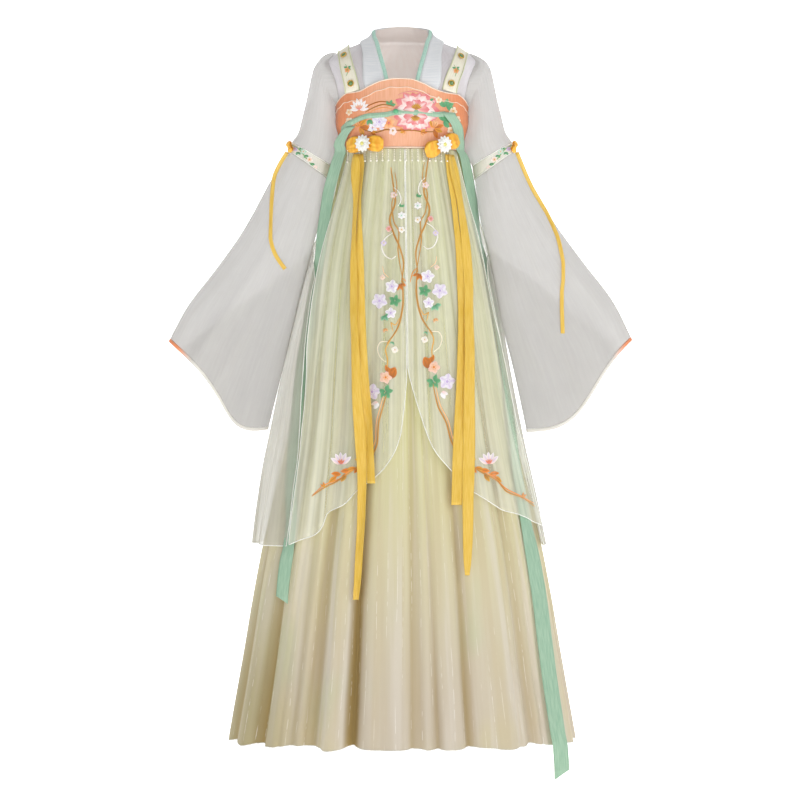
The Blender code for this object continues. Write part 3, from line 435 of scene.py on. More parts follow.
def drape(angle, z):
    """Uneven small folds of the skirt: fine gathers at the seam that run out into long soft ones."""
    down = np.clip((SEAM_Z - z) / (SEAM_Z - SKIRT_WIDTH[0][0]), 0, 1)
    wander = 0.5 * np.sin(3 * np.radians(angle) + 3 * down) * down
    turn = angle / 360
    near = np.exp(-down * 9)
    fine = 1.5 * near * noise(3, turn * 150, down * 2, 150)
    loose = 0.9 * np.exp(-down * 3) * noise(4, turn * 96, down * 3, 96)
    long = noise(5, turn * 54 + wander, down * 1.6, 54) * (1.0 + 2.4 * down) * (1 - near)
    soft = noise(8, turn * 118 + wander * 2, down * 3.2, 118) * (0.5 + 0.9 * down) * (1 - near)
    return fine + loose + long + soft


def placed(name, data):
    """A new object in the scene."""
    obj = bpy.data.objects.new(name, data)
    bpy.context.scene.collection.objects.link(obj)
    return obj


def shell(name, grid, finish, wrap):
    """One layer of cloth through rows of points in millimetres. Its UV map is in metres of cloth."""
    grid = np.asarray(grid, float)
    rows, cols = grid.shape[:2]
    shift = np.diff(grid, axis=1, append=grid[:, :1] if wrap else grid[:, -1:])
    across = np.concatenate([[0], np.cumsum(np.linalg.norm(shift, axis=2).mean(axis=0))]) * MM
    step = np.diff(grid, axis=0)
    down = np.concatenate([[0], np.cumsum(np.linalg.norm(step, axis=2).mean(axis=1))]) * MM
    i, j = np.meshgrid(np.arange(rows - 1), np.arange(cols if wrap else cols - 1), indexing="ij")
    i, j = i.ravel(), j.ravel()
    k = (j + 1) % cols
    quads = np.stack([i * cols + j, (i + 1) * cols + j, (i + 1) * cols + k, i * cols + k], axis=1)
    u = np.stack([across[j], across[j], across[j + 1], across[j + 1]], axis=1).ravel()
    v = -np.stack([down[i], down[i + 1], down[i + 1], down[i]], axis=1).ravel()
    return mesh_of(name, grid.reshape(-1, 3) * MM, quads, finish, np.stack([u, v], axis=1))


def mesh_of(name, points, faces, finish, uv=None, tint=None):
    mesh = bpy.data.meshes.new(name)
    mesh.from_pydata(np.asarray(points).tolist(), [], [tuple(map(int, face)) for face in faces])
    if uv is not None:
        layer = mesh.uv_layers.new(name="cloth")
        layer.data.foreach_set("uv", np.asarray(uv, np.float32).ravel())
    if tint is not None:
        layer = mesh.attributes.new("tint", "FLOAT_COLOR", "POINT")
        layer.data.foreach_set("color", np.asarray(tint, np.float32).ravel())
    mesh.shade_smooth()
    mesh.materials.append(finish)
    obj = placed(name, mesh)
    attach(obj, "root")
    return obj


def thicken(obj, wall):
    """A wall in millimetres, half of it on each side of the shell."""
    solid = obj.modifiers.new("wall", "SOLIDIFY")
    solid.thickness, solid.offset = wall * MM, 0


def cloth(node, name, grid, finish, wall=None, wrap=False):
    """A shell in place of a solid. It has a wall, in millimetres, where both its faces show."""
    obj = shell(name, grid, finish, wrap)
    if wall:
        thicken(obj, wall)
    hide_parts(node)
    return obj


def tree_of(*objects):
    """What rays are cast at to find the surface of some pieces."""
    points, faces = [], []
    for obj in objects:
        start = len(points)
        points += [v.co.copy() for v in obj.data.vertices]
        faces += [[start + i for i in p.vertices] for p in obj.data.polygons]
    return BVHTree.FromPolygons(points, faces)


def tube(name, line, radius, finish, sides=6, closed=False):
    """A round cord along points in millimetres."""
    line = np.asarray(line, float)
    count = len(line)
    if closed:
        along = unit(np.roll(line, -1, axis=0) - np.roll(line, 1, axis=0))
    else:
        along = unit(np.gradient(line, axis=0))
    side = np.zeros_like(line)
    side[0] = unit(np.cross(along[0], [0, 0, 1.0] if abs(along[0, 2]) < 0.9 else [1.0, 0, 0]))
    for k in range(1, count):
        side[k] = unit(side[k - 1] - along[k] * (side[k - 1] @ along[k]))
    up = np.cross(along, side)
    turn = np.arange(sides) * 2 * math.pi / sides
    out = side[:, None] * np.cos(turn)[:, None] + up[:, None] * np.sin(turn)[:, None]
    points = (line[:, None] + radius * out).reshape(-1, 3)
    faces = []
    for a in range(count if closed else count - 1):
        b = (a + 1) % count
        for j in range(sides):
            k = (j + 1) % sides
            faces.append((a * sides + j, a * sides + k, b * sides + k, b * sides + j))
    if not closed:
        points = np.concatenate([points, line[:1], line[-1:]])
        base, start, end = (count - 1) * sides, count * sides, count * sides + 1
        faces += [(start, (j + 1) % sides, j) for j in range(sides)]
        faces += [(end, base + j, base + (j + 1) % sides) for j in range(sides)]
    return mesh_of(name, points * MM, faces, finish)


def join(name, objects):
    """Several meshes as one piece."""
    first = objects[0]
    with bpy.context.temp_override(active_object=first, object=first, selected_objects=objects,
                                   selected_editable_objects=objects):
        bpy.ops.object.join()
    first.name = name
    first.data.name = name


# ---------------------------------------------------------------- materials

# Spacing of the threads of each cloth, of close stitches and of the skirt's bright threads, in metres.
CHIFFON_WEAVE, LINING_WEAVE, SATIN_WEAVE, RIBBON_WEAVE = 0.0012, 0.0010, 0.0009, 0.0008
STITCH_PITCH, THREAD_SPACING = 0.0009, 0.0135


def srgb(r, g, b):
    """A colour given as it looks on a screen, from 0 to 255."""
    c = np.array([r, g, b]) / 255
    return tuple(float(x) for x in np.where(c <= 0.04045, c / 12.92, ((c + 0.055) / 1.055) ** 2.4))


class Wire:
    """A shader value that Python arithmetic can be done on."""

    def __init__(self, tree, socket):
        self.tree, self.socket = tree, socket

    def feed(self, place):
        """Joins this value to a node's input."""
        self.tree.links.new(self.socket, place)

    def node(self, kind, *inputs, output=0, **settings):
        """Any node, with its inputs by position or name, and what comes out of it."""
        made = self.tree.nodes.new(kind)
        named = settings.pop("named", {})
        for key, value in settings.items():
            setattr(made, key, value)
        for key, value in [*enumerate(inputs), *named.items()]:
            if isinstance(value, Wire):
                value.feed(made.inputs[key])
            elif value is not None:
                made.inputs[key].default_value = value
        return Wire(self.tree, made.outputs[output])

    def math(self, operation, *values):
        return self.node("ShaderNodeMath", *values, operation=operation)

    def __add__(self, other):
        return self.math("ADD", self, other)

    def __sub__(self, other):
        return self.math("SUBTRACT", self, other)

    def __rsub__(self, other):
        return self.math("SUBTRACT", other, self)

    def __mul__(self, other):
        return self.math("MULTIPLY", self, other)

    def __truediv__(self, other):
        return self.math("DIVIDE", self, other)

    def __rtruediv__(self, other):
        return self.math("DIVIDE", other, self)

    def __abs__(self):
        return self.math("ABSOLUTE", self)

    __radd__, __rmul__ = __add__, __mul__

    def sin(self):
        return self.math("SINE", self)

    def fract(self):
        return self.math("FRACT", self)

    def range(self, low, high, to_low=0.0, to_high=1.0):
        """A soft step of this value between low and high."""
        limits = low, high, to_low, to_high
        return self.node("ShaderNodeMapRange", self, *limits, interpolation_type="SMOOTHSTEP")

    def mix(self, first, second, blend="MIX"):
        """Between two colours, by this value."""
        sides = {key: c if isinstance(c, Wire) else (*c, 1) for key, c in ((6, first), (7, second))}
        return self.node("ShaderNodeMix", self, output=2, data_type="RGBA", blend_type=blend, named=sides)

    def parts(self):
        """The x, y and z of a place."""
        split = self.node("ShaderNodeSeparateXYZ", self).socket.node
        return [Wire(self.tree, output) for output in split.outputs]


class Finish:
    """A material with a Principled shader, and the coordinates that its textures read."""

    def __init__(self, name, colour, roughness, metallic=0.0, sheen=0.0, coat=0.0, alpha=1.0):
        self.material = bpy.data.materials.new(name)
        self.material.use_nodes = True
        self.tree = self.material.node_tree
        self.shader = self.tree.nodes["Principled BSDF"]
        for key, value in (("Base Color", (*colour, 1)), ("Roughness", roughness), ("Metallic", metallic),
                           ("Sheen Weight", sheen), ("Sheen Roughness", 0.4), ("Coat Weight", coat),
                           ("Alpha", alpha)):
            self.set(key, value)
        place = self.tree.nodes.new("ShaderNodeTexCoord")
        self.object, self.uv = (Wire(self.tree, place.outputs[key]) for key in ("Object", "UV"))
        self.u, self.v, _ = self.uv.parts()
        self.x, _, self.z = self.object.parts()

    def set(self, name, value):
        if isinstance(value, Wire):
            value.feed(self.shader.inputs[name])
        else:
            self.shader.inputs[name].default_value = value

    def noise(self, scale, detail=2.0, stretch=None, where=None):
        where = where or self.object
        if stretch:
            where = where.node("ShaderNodeVectorMath", where, stretch, operation="MULTIPLY")
        return where.node("ShaderNodeTexNoise", named={"Vector": where, "Scale": scale, "Detail": detail})

    def streaks(self, detail, across, down):
        """Noise drawn out along the cloth: how many cells it has to a metre each way."""
        return self.noise(1.0, detail, (across, down, 1), self.uv)

    def attribute(self, name, output="Fac"):
        return self.uv.node("ShaderNodeAttribute", attribute_name=name, output=output)

    def bump(self, height, distance, strength):
        named = {"Height": height, "Distance": distance, "Strength": strength}
        self.set("Normal", height.node("ShaderNodeBump", named=named))

    def weave(self, pitch):
        """Threads both ways, from 0 to 1."""
        turn = 2 * math.pi / pitch
        return 0.5 + 0.5 * ((self.u * turn).sin() * (self.v * turn).sin())


def sheer(name, colour, alpha, shade, crinkle, uneven=0.14, gathers=0.0, hem=0.0):
    """Chiffon: thin threads, with faint streaks, denser where gathers or a turned hem lie in two layers, with
    painted shade darkening that hem.
    """
    f = Finish(name, colour, 0.85, sheen=0.2)
    streak = f.streaks(3.0, 260, 14)
    cloud = f.noise(9.0, 3.0)
    gather = f.streaks(2.0, 62, 0.9)
    # A turned hem in two layers near the cuff: the cloth is denser there, and its colour is darkened as
    # painted shade.
    doubled_hem_shade = (f.z + abs(f.x) * 0.76 + f.noise(3.0) * 0.03).range(-0.262, -0.238, 1.0, 0.0) * hem
    thin = (streak - 0.5) * uneven + (cloud - 0.5) * 0.12 + (gather - 0.5) * gathers
    f.set("Alpha", alpha + thin + doubled_hem_shade)
    base = (cloud * 0.5 + streak * 0.5).range(0.3, 0.7).mix([c * (1 - shade) for c in colour], colour)
    f.set("Base Color", doubled_hem_shade.mix(base, [c * 0.6 for c in colour]))
    creases = f.streaks(4.0, 420, 60) * crinkle + f.noise(60, 3.0) * crinkle
    f.bump(f.weave(CHIFFON_WEAVE) * 0.35 + creases, 0.0008, 0.5)
    return f.material


def satin(name, colour, deep, roughness=0.5, pitch=SATIN_WEAVE, sheen=0.15, alpha=1.0, cells=(500, 30)):
    f = Finish(name, colour, roughness, sheen=sheen, alpha=alpha)
    streak = f.streaks(3.0, *cells)
    f.set("Base Color", streak.range(0.3, 0.72).mix(deep, colour))
    f.bump(f.weave(pitch) * 0.4 + streak * 0.5, 0.0004, 0.5)
    return f.material


def plain(name, colour, roughness=0.6, metallic=0.0, coat=0.0, grain=0.06):
    f = Finish(name, colour, roughness, metallic, coat=coat)
    dark, pale = [c * (1 - grain) for c in colour], [min(1, c * (1 + grain)) for c in colour]
    f.set("Base Color", f.noise(300, 2.0).range(0.3, 0.7).mix(dark, pale))
    return f.material


def thread():
    """Silk embroidery: the colour of each shape's own attribute, with a sheen of close stitches."""
    f = Finish("silk_thread", (0.8, 0.8, 0.8), 0.45, sheen=0.3)
    stitch = 0.5 + 0.5 * (f.u * (2 * math.pi / STITCH_PITCH)).sin()
    f.set("Base Color", (stitch * 0.35).mix(f.attribute("tint", "Color"), (0.9, 0.86, 0.8), "SOFT_LIGHT"))
    f.bump(stitch + f.noise(700, 1.0) * 0.4, 0.0003, 0.6)
    return f.material


def skirt_cloth():
    """Lined chiffon, green at the chest and cream at the hem, with dyed clouds, broken bright threads and
    painted shade.
    """
    f = Finish("skirt_cloth", srgb(208, 199, 170), 0.82, sheen=0.12)
    high = f.z.range(-1.02, -0.45)
    low = f.z.range(-1.33, -0.90, 1.0, 0.0)
    cloud = f.noise(4.2, 3.0, (1, 1, 0.55))
    warm = f.noise(3.1, 3.0, (1.3, 1, 0.7))
    green = f.noise(5.3, 2.0, (1.0, 1, 0.5))
    pleat_light_and_shade = f.streaks(3.0, 58, 1.5)
    gather = f.streaks(2.0, 190, 1.1)
    # Painted shade: the lower skirt darkens towards its left side, away from the key light.
    shade = f.x.range(-0.30, -0.17, 1.0, 0.0) * low
    # Painted shade in the fold valleys: darker where the cloth lies deep in a fold, less so right of 0.2 m.
    valley_shade = f.attribute("valley_shade") * f.x.range(0.17, 0.215, 1.0, 0.3)
    base = high.mix(srgb(214, 206, 168), srgb(216, 216, 150))
    for share, colour in (
        (low, srgb(207, 195, 175)),
        (cloud.range(0.50, 0.68) * 0.38, srgb(214, 203, 148)),
        (warm.range(0.56, 0.72) * 0.5, srgb(222, 196, 164)),
        (green.range(0.57, 0.72) * 0.4, srgb(186, 202, 160)),
        # Painted highlight and shade: random light and dark streaks down the soft pleats.
        (pleat_light_and_shade.range(0.50, 0.66) * 0.45, srgb(224, 216, 204)),
        (pleat_light_and_shade.range(0.36, 0.50, 1.0, 0.0) * 0.34, srgb(202, 186, 150)),
        (gather.range(0.34, 0.48, 1.0, 0.0) * high * 0.6, srgb(184, 186, 112)),
        (gather.range(0.54, 0.68) * high * 0.6, srgb(238, 238, 214)),
        # the painted shade on the left side
        (shade * 0.8, srgb(170, 158, 118)),
        # the painted shade in the fold valleys
        (valley_shade * 0.95, srgb(160, 134, 76)),
    ):
        base = share.mix(base, colour)
    along = (f.u / THREAD_SPACING + f.streaks(2.0, 9, 3) * 0.9).fract() - 0.5
    gaps = f.streaks(2.0, 150, 40).range(0.47, 0.58) * f.streaks(2.0, 30, 5).range(0.38, 0.60)
    line = (1 - abs(along).range(0.0, 0.045)) * gaps
    f.set("Base Color", (line * 0.6).mix(base, srgb(250, 246, 238)))
    f.set("Roughness", 0.84 - line * 0.4)
    streak = f.streaks(4.0, 330, 16)
    f.bump(f.weave(CHIFFON_WEAVE) * 0.3 + streak * 0.6 + line * 0.6, 0.0007, 0.55)
    return f.material


def cuff_cloth():
    """Pale silk, dyed peach at the outer tips of the sleeves."""
    f = Finish("cuff_silk", srgb(232, 228, 220), 0.6, sheen=0.15)
    f.set("Base Color", abs(f.x).range(0.415, 0.45).mix(srgb(230, 226, 218), srgb(240, 150, 104)))
    f.bump(f.streaks(3.0, 500, 30), 0.0004, 0.5)
    return f.material


def lining_cloth():
    """Thin beige cloth that lets some daylight through from behind, with a faint painted glow and painted
    shade along its top.
    """
    f = Finish("beige_lining_cloth", srgb(252, 243, 236), 0.85, sheen=0.1, alpha=0.86)
    cloud = f.streaks(3.0, 120, 30)
    base = cloud.range(0.3, 0.7).mix(srgb(248, 236, 228), srgb(252, 243, 236))
    # Painted shade: darker towards its top edge, to tone down the light that falls there from above.
    f.set("Base Color", (f.z.range(-0.015, 0.03) * 0.8).mix(base, srgb(214, 202, 196)))
    # Painted light: a faint glow stands in for daylight passing through the thin cloth.
    f.set("Emission Color", (*srgb(252, 238, 230), 1))
    f.set("Emission Strength", 0.17)
    f.bump(f.weave(LINING_WEAVE) * 0.4 + cloud * 0.4, 0.0004, 0.4)
    return f.material


def bodice_silk():
    """Peach silk, paler down its middle and deeper towards the sides."""
    f = Finish("peach_silk", srgb(244, 176, 136), 0.55, sheen=0.15)
    streak = f.streaks(3.0, 500, 30)
    middle = streak.range(0.3, 0.72).mix(srgb(230, 166, 128), srgb(239, 181, 149))
    sides = streak.range(0.3, 0.72).mix(srgb(224, 134, 86), srgb(236, 152, 104))
    f.set("Base Color", abs(f.x).range(0.04, 0.125).mix(middle, sides))
    f.bump(f.weave(CHIFFON_WEAVE) * 0.4 + streak * 0.5, 0.0004, 0.5)
    return f.material


white_jacket = sheer("jacket_sheer", srgb(222, 218, 222), 0.84, 0.05, 0.4)
back_jacket = sheer("jacket_back_sheer", srgb(226, 222, 224), 0.62, 0.05, 0.4)
# hem: painted shade on the lower sleeves, where the turned hem lies in two layers
sleeve_sheer = sheer("sleeve_sheer", srgb(197, 194, 190), 0.60, 0.05, 0.3, uneven=0.05, hem=0.09)
collar_silk = satin("collar_silk", srgb(234, 235, 236), srgb(222, 225, 228), 0.6)
mint_trim = satin("mint_trim_silk", srgb(190, 226, 210), srgb(172, 215, 198))
beige = lining_cloth()
lace = sheer("lace_band", srgb(250, 247, 236), 0.80, 0.06, 0.4)
peach = bodice_silk()
peach_edge = cuff_cloth()
strap_silk = satin("strap_silk", srgb(244, 240, 222), srgb(236, 230, 210), 0.6)
strap_edge = satin("strap_edge", srgb(216, 218, 182), srgb(200, 204, 164), 0.55)
mint = satin("mint_ribbon", srgb(170, 201, 175), srgb(146, 185, 157), 0.45, RIBBON_WEAVE, 0.25)
amber = satin("amber_ribbon", srgb(250, 198, 66), srgb(236, 158, 34), 0.42, RIBBON_WEAVE, 0.25,
              cells=(120, 60))
yellow = satin("yellow_organza", srgb(252, 214, 100), srgb(240, 196, 66), 0.42, RIBBON_WEAVE, 0.25, 0.80)
skirt_finish = skirt_cloth()
over_sheer = sheer("overskirt_sheer", srgb(246, 246, 226), 0.44, 0.03, 0.35, 0.10, 1.1)
# Painted shade: the back panels' chiffon is a darker copy of the front panels'.
over_back_shaded = sheer("overskirt_back_sheer", srgb(206, 203, 188), 0.58, 0.03, 0.35, 0.10, 0.8)
rolled = plain("rolled_hem", srgb(246, 246, 240))
cream_pipe = plain("cream_piping", srgb(246, 226, 206))
silk_white = plain("silk_petal", srgb(252, 250, 244), 0.5)
silk_core = plain("silk_core", srgb(226, 220, 130))
pearl = plain("pearl", srgb(252, 248, 238), 0.18, coat=0.6, grain=0.02)
gold = plain("gold_ring", srgb(214, 176, 96), 0.32, 0.85)
green_gem = plain("green_gem", srgb(104, 140, 84), 0.15, coat=0.8)
green_bead = plain("green_bead", srgb(92, 176, 128), 0.3, coat=0.4)
silk_thread = thread()

# ---------------------------------------------------------------- jacket


def shoulder_rise(angle, z):
    """The rise of the jacket's shoulder, from beside the collar out to the armhole."""
    out = curve(TORSO_WIDTH, z) * np.abs(np.sin(np.radians(angle))) - SHOULDER_START
    return SHOULDER_RISE * np.clip(out / 14, 0, 1) * np.clip((z - SHOULDER_LOW) / 20, 0, 1)


def jacket_rows():
    """Heights down the jacket, closer together above the bodice's edge."""
    return np.concatenate([np.linspace(JACKET_TOP, -110, many(60)), np.linspace(-114, JACKET_LOW, many(30))])


def jacket_side(z, depths):
    """The angle at which a part of the jacket ends: under the sleeve's seam, or at the side seam."""
    return min(armhole_edge(z, curve(depths, z)) + SEAM_TURN, SIDE_SEAM)


def jacket_front(name, side):
    inner_edge = [(-z, x + 5) for x, _, z in COLLAR_IN] + [(-JACKET_LOW, 20)]
    rows = []
    for z in jacket_rows():
        start = angle_at(np.float64(curve(inner_edge, -z)), curve(TORSO_WIDTH, z))
        angle = np.linspace(start, jacket_side(z, TORSO_FRONT), many(34))
        ripple = 0.8 * noise(21, angle / 5, z / 60) + 1.1 * noise(22, angle / 9, z / 25) * (angle / 90)
        rows.append(torso(side * angle, float(z), ripple + shoulder_rise(angle, z)))
    grid = np.array(rows)
    cloth(name, name + "_cloth", grid if side > 0 else grid[:, ::-1], white_jacket)


def jacket_back():
    rows = []
    for z in jacket_rows():
        end = 180 - jacket_side(z, TORSO_BACK)
        angle = np.linspace(end, 360 - end, many(70))
        rows.append(torso(angle, float(z), 0.9 * noise(23, angle / 6, z / 50) + shoulder_rise(angle, z)))
    cloth("jacket_back", "jacket_back_cloth", rows, back_jacket)


def collar():
    """A band from one front edge round the neck to the other, a little rounded across."""
    lines = []
    shares = np.linspace(0, 1, many(9))
    for share in shares:
        front = torso_at(np.array(COLLAR_IN) * (1 - share) + np.array(COLLAR_OUT) * share, COLLAR_LIFT)
        behind = np.array(COLLAR_BACK_IN) * (1 - share) + torso_at(COLLAR_BACK_OUT, 4.2) * share
        first = np.array(COLLAR_IN[0], float), front[1] * [1, 0, 1] + [0, COLLAR_IN[1][1] - 2, 0]
        ease = max(0, 1 - share * 3)
        front[:2] = front[:2] * (1 - ease) + np.array(first) * ease
        half = np.concatenate([behind, front])
        lines.append(evenly(np.concatenate([half[:0:-1] * [-1, 1, 1], half]), many(150)))
    grid = np.stack(lines)
    out = unit(np.cross(np.gradient(grid, axis=0), np.gradient(grid, axis=1)))
    grid = grid + out * np.sin(np.pi * shares)[:, None, None] * COLLAR_BULGE
    cloth("collar", "collar_cloth", grid, collar_silk, BAND_WALL)


def collar_trim(name, side):
    """A narrow rolled trim inside the collar's edge."""
    edge = torso_at(COLLAR_IN, COLLAR_LIFT)
    edge[0] = COLLAR_IN[0]
    edge[1, 1] = COLLAR_IN[1][1] - 2
    across = unit(torso_at(COLLAR_OUT, COLLAR_LIFT) - edge)
    rows = []
    for reach, rise in ((0.4, 0), (2, 0.7), (4.2, 0.9), (6.4, 0.7), (8.2, 0)):
        line = evenly((edge - across * reach) * [side, 1, 1], many(60))
        line[:, 1] -= rise
        rows.append(line)
    grid = np.stack(rows)
    cloth(name, name + "_silk", grid if side < 0 else grid[:, ::-1], mint_trim, TRIM_WALL)


def neck_lining():
    angle = np.linspace(96, 264, many(70))
    rows = []
    for z in np.linspace(52, -112, many(50)):
        width, back = (curve([(row[0], row[k]) for row in NECK_LINING], z) for k in (1, 2))
        x, y = ring(angle, width, back, back, 0.4 * noise(31, angle / 12, z / 40))
        rows.append(np.stack([x, y, lining_level(x, z)], axis=-1))
    cloth("neck_lining", "neck_lining_cloth", rows, beige)


# ---------------------------------------------------------------- sleeves


def swelled(row, share):
    """A ring made larger about its middle, by a share at each point."""
    middle = row.mean(axis=0)
    return middle + (row - middle) * (1 + share)


def flow(rows, side):
    """Rings whose columns run the way that makes a shell face outwards."""
    rows = np.array(rows)
    return rows[:, ::-1] if side < 0 else rows


def upper_sleeve(name, side):
    """A gathered sleeve whose head climbs over the jacket's shoulder."""
    top = np.clip(np.cos(AROUND), 0, 1)
    climb = HEAD_CLIMB * top**3
    z = ARMHOLE_Z + ARMHOLE_RISE * np.cos(AROUND) + climb
    y = -ARMHOLE_DEPTH * np.sin(AROUND)
    depth = np.where(y < 0, curve(TORSO_FRONT, z), curve(TORSO_BACK, z))
    turn = np.arccos(np.clip(np.abs(y) / depth, 0, 1) ** (1 / SQUARE))
    x = side * (curve(TORSO_WIDTH, z) * np.sin(turn) ** SQUARE + 1.2)
    first = np.stack([x, y, z + 0.15 * climb], axis=-1)
    keys = np.array([(*outer, *inner, half) for outer, inner, half in UPPER], float)
    round_cells = AROUND / (2 * math.pi)
    rows = []
    for s in np.linspace(0, 1, many(56)):
        outer_x, outer_z, inner_x, inner_z, half = curves(np.linspace(0, 1, len(UPPER)), keys, s)
        row = section((side * outer_x, outer_z), (side * inner_x, inner_z), half, 0.1)
        at_head, at_top, at_band = (math.exp(-((away / reach) ** 2))
                                    for away, reach in ((s, 0.22), (s, 0.5), (1 - s, 0.2)))
        wave = (0.030 * at_head * np.cos(26 * AROUND + 2 * np.sin(3 * AROUND))
                + 0.045 * at_top * noise(41, round_cells * 20, s * 1.5, 20)
                + 0.035 * noise(42, round_cells * 9 + s, s * 5, 9)
                + 0.03 * at_band * noise(43, round_cells * 30, s * 2, 30))
        rows.append(swelled(row, wave[:, None] * min(1, s * 8)))
    head = []
    for f in np.linspace(0, 1, 8, endpoint=False):
        gathers = 0.9 * np.cos(34 * AROUND) + 1.2 * noise(44, round_cells * 30, f * 3, 30)
        puff = head_rise(side) * 0.5 + 0.12 * climb + gathers * np.clip(np.cos(AROUND) + 0.6, 0, 1)
        rise = puff * 4 * f * (1 - f)
        head.append(first + (rows[0] - first) * f + rise[:, None] * [0, 0, 1])
    rows = np.array(head + rows)
    rows[:, :, 0] -= side * curve(SNUG, rows[:, :, 2]) * INWARD**6
    cloth(name, name + "_cloth", flow(rows, side), sleeve_sheer, wrap=True)


def elbow_band(name, side):
    outer, inner, half = UPPER[-1]
    first = section((side * (outer[0] + 0.35), outer[1] - 0.4), (side * (inner[0] + 0.2), inner[1] - 0.45),
                    half, 0.1)
    outer, inner, half = BAND_END
    last = section((side * outer[0], outer[1]), (side * inner[0], inner[1]), half, 0.1)
    rows = [swelled(first + (last - first) * f, 0.012 * math.sin(math.pi * f)) for f in np.linspace(0, 1, 7)]
    cloth(name, name + "_lace", flow(rows, side), lace, TRIM_WALL, True)
    edges = [tube(f"{name}_edge_{k}", swelled(row, 0.015), 0.9, rolled, closed=True)
             for k, row in enumerate((rows[0], rows[-1]))]
    join(name + "_edges", edges)


def lower_sleeve(name, side, top, low, belly):
    """A flared sleeve with long folds, its cuff binding and the fold along its upper edge."""
    steps = np.linspace(0, 1, many(90))
    rings = lower_rings(top, low, belly, steps)
    face = np.where(np.sin(AROUND) > 0, 1, -1)
    seed = 51 if side < 0 else 55
    for ring_points, s in zip(rings, steps):
        for high_at, low_at, wide, rise in SLEEVE_FOLDS:
            away = INWARD - (high_at + (low_at - high_at) * s**0.8)
            ring_points[:, 1] -= rise * s * np.exp(-((away / wide) ** 2)) * np.sin(AROUND)
        sway = (3.2 * noise(seed, INWARD * 7 + 2 * s, s * 2.2 + 3 * face) * s
                + 1.6 * noise(seed + 1, INWARD * 15 + 3 * s, s * 3 + 9 * face)
                + 2.6 * noise(seed + 2, INWARD * 5 - 5 * s, s * 6) * math.exp(-s * 4))
        ring_points[:, 1] += sway * np.sin(AROUND) ** 2 * np.sign(-np.sin(AROUND))
    cloth(f"sleeve_lower_{name}", f"sleeve_lower_{name}_cloth", flow(rings, side), sleeve_sheer, wrap=True)
    step = unit(rings[-1] - rings[-3])
    edge = [rings[-1] + step * f for f in (0.3, 2.5, 4.8, 7)]
    cloth(f"cuff_binding_{name}", f"cuff_binding_{name}_silk", flow(edge, side), peach_edge, TRIM_WALL, True)
    tube(f"sleeve_fold_{name}", (rings[:, 0] + [0, 0, 0.4])[::2], 0.6, rolled, 5)


def ribbon(name, spots, width, twist):
    """A narrow ribbon along points in millimetres, facing the front, with a soft curl."""
    length = run_of(spots)[-1]
    line = evenly(spots, many(60))
    share = np.linspace(0, 1, len(line))
    along = unit(np.gradient(line, axis=0))
    side = unit(np.cross(along, [0, -1.0, 0]))
    lead = np.cross(side, along)
    turn = twist * np.sin(share * length / 37 + 0.6) * np.sin(np.pi * share)
    side = side * np.cos(turn)[:, None] + lead * np.sin(turn)[:, None]
    grid = np.stack([line + side * width / 2 * s for s in (-1, -0.5, 0, 0.5, 1)], axis=1)
    cloth(name, name + "_silk", grid, yellow, RIBBON_WALL)


def sleeve_ribbon(name, points, top, low, belly):
    """A ribbon that hangs down the front of a sleeve, just clear of its folds."""
    rings = lower_rings(top, low, belly, np.linspace(0, 1, 41))
    cloud = rings[:, np.sin(AROUND) > 0.05].reshape(-1, 3)
    line = []
    for x, z in path(points, np.linspace(0, 1, 15)):
        near = np.argsort(np.hypot(cloud[:, 0] - x, cloud[:, 2] - z))[:4]
        line.append((x, min(cloud[near, 1].min() - 3.6, -20), z))
    line = np.array(line)
    line[1:-1, 1] = np.minimum(line[1:-1, 1], (line[:-2, 1] + line[2:, 1]) / 2)
    ribbon(name, line, 8, 0.5)


def loops(node, centre, facing, half, high, pinch, deep, tilt):
    """A ribbon bow: one loop to each side of a pinched middle, with pleats that run into the knot."""
    centre = np.array(centre)
    facing, right, up = facing_frame(facing)
    right, up = right * math.cos(tilt) + up * math.sin(tilt), up * math.cos(tilt) - right * math.sin(tilt)
    rows = []
    for level in np.linspace(1, -1, 13):
        row = []
        puff = math.sqrt(1 - 0.55 * level**2)
        for t in all_round(4):
            far = abs(math.cos(t))
            swell = math.sin(math.pi * min(far**1.3, 1)) ** 0.8
            away = math.sin(t) * (pinch + (deep - pinch) * swell) * puff
            pleats = math.cos(level * 7.5 + math.sin(3 * t)) * (1 - far) ** 0.7
            pleats += 0.5 * math.cos(level * 13 + 2 * far)
            away += pleats * math.sin(t) * min(1, 6 * far) * high / 11
            rise = math.sin(math.pi / 2 * min(1, far / LOOP_WIDEST)) ** 0.8
            end = max(0, (far - LOOP_WIDEST) / (1 - LOOP_WIDEST))
            tall = (0.28 + 0.72 * rise) * (1 - 0.5 * end**2) * high
            sag = -0.16 * high * far**2 * (1 + 0.4 * math.cos(t))
            row.append(centre + right * half * math.cos(t) + facing * away + up * (tall * level + sag))
        rows.append(row)
    cloth(node, node + "_silk", rows, amber, RIBBON_WALL, True)
    knot = []
    turn = all_round(20)
    for level in np.linspace(1, -1, 7):
        wide = KNOT_HALF * (1 - 0.15 * level**2)
        knot.append(centre + up * level * high * 0.55 + circle(turn, right * wide, facing * (pinch + 2)))
    shell(node + "_silk_knot", knot, amber, True)


# ---------------------------------------------------------------- bodice, straps, belt


def bodice_rows(angle, top, count, ripple):
    """Rows of the bodice from its top edge to its seam, with a ripple at each share of the way."""
    low = SEAM_Z + 0.6
    return [bodice(angle, top + (low - top) * f, ripple(f)) for f in np.linspace(0, 1, many(count))]


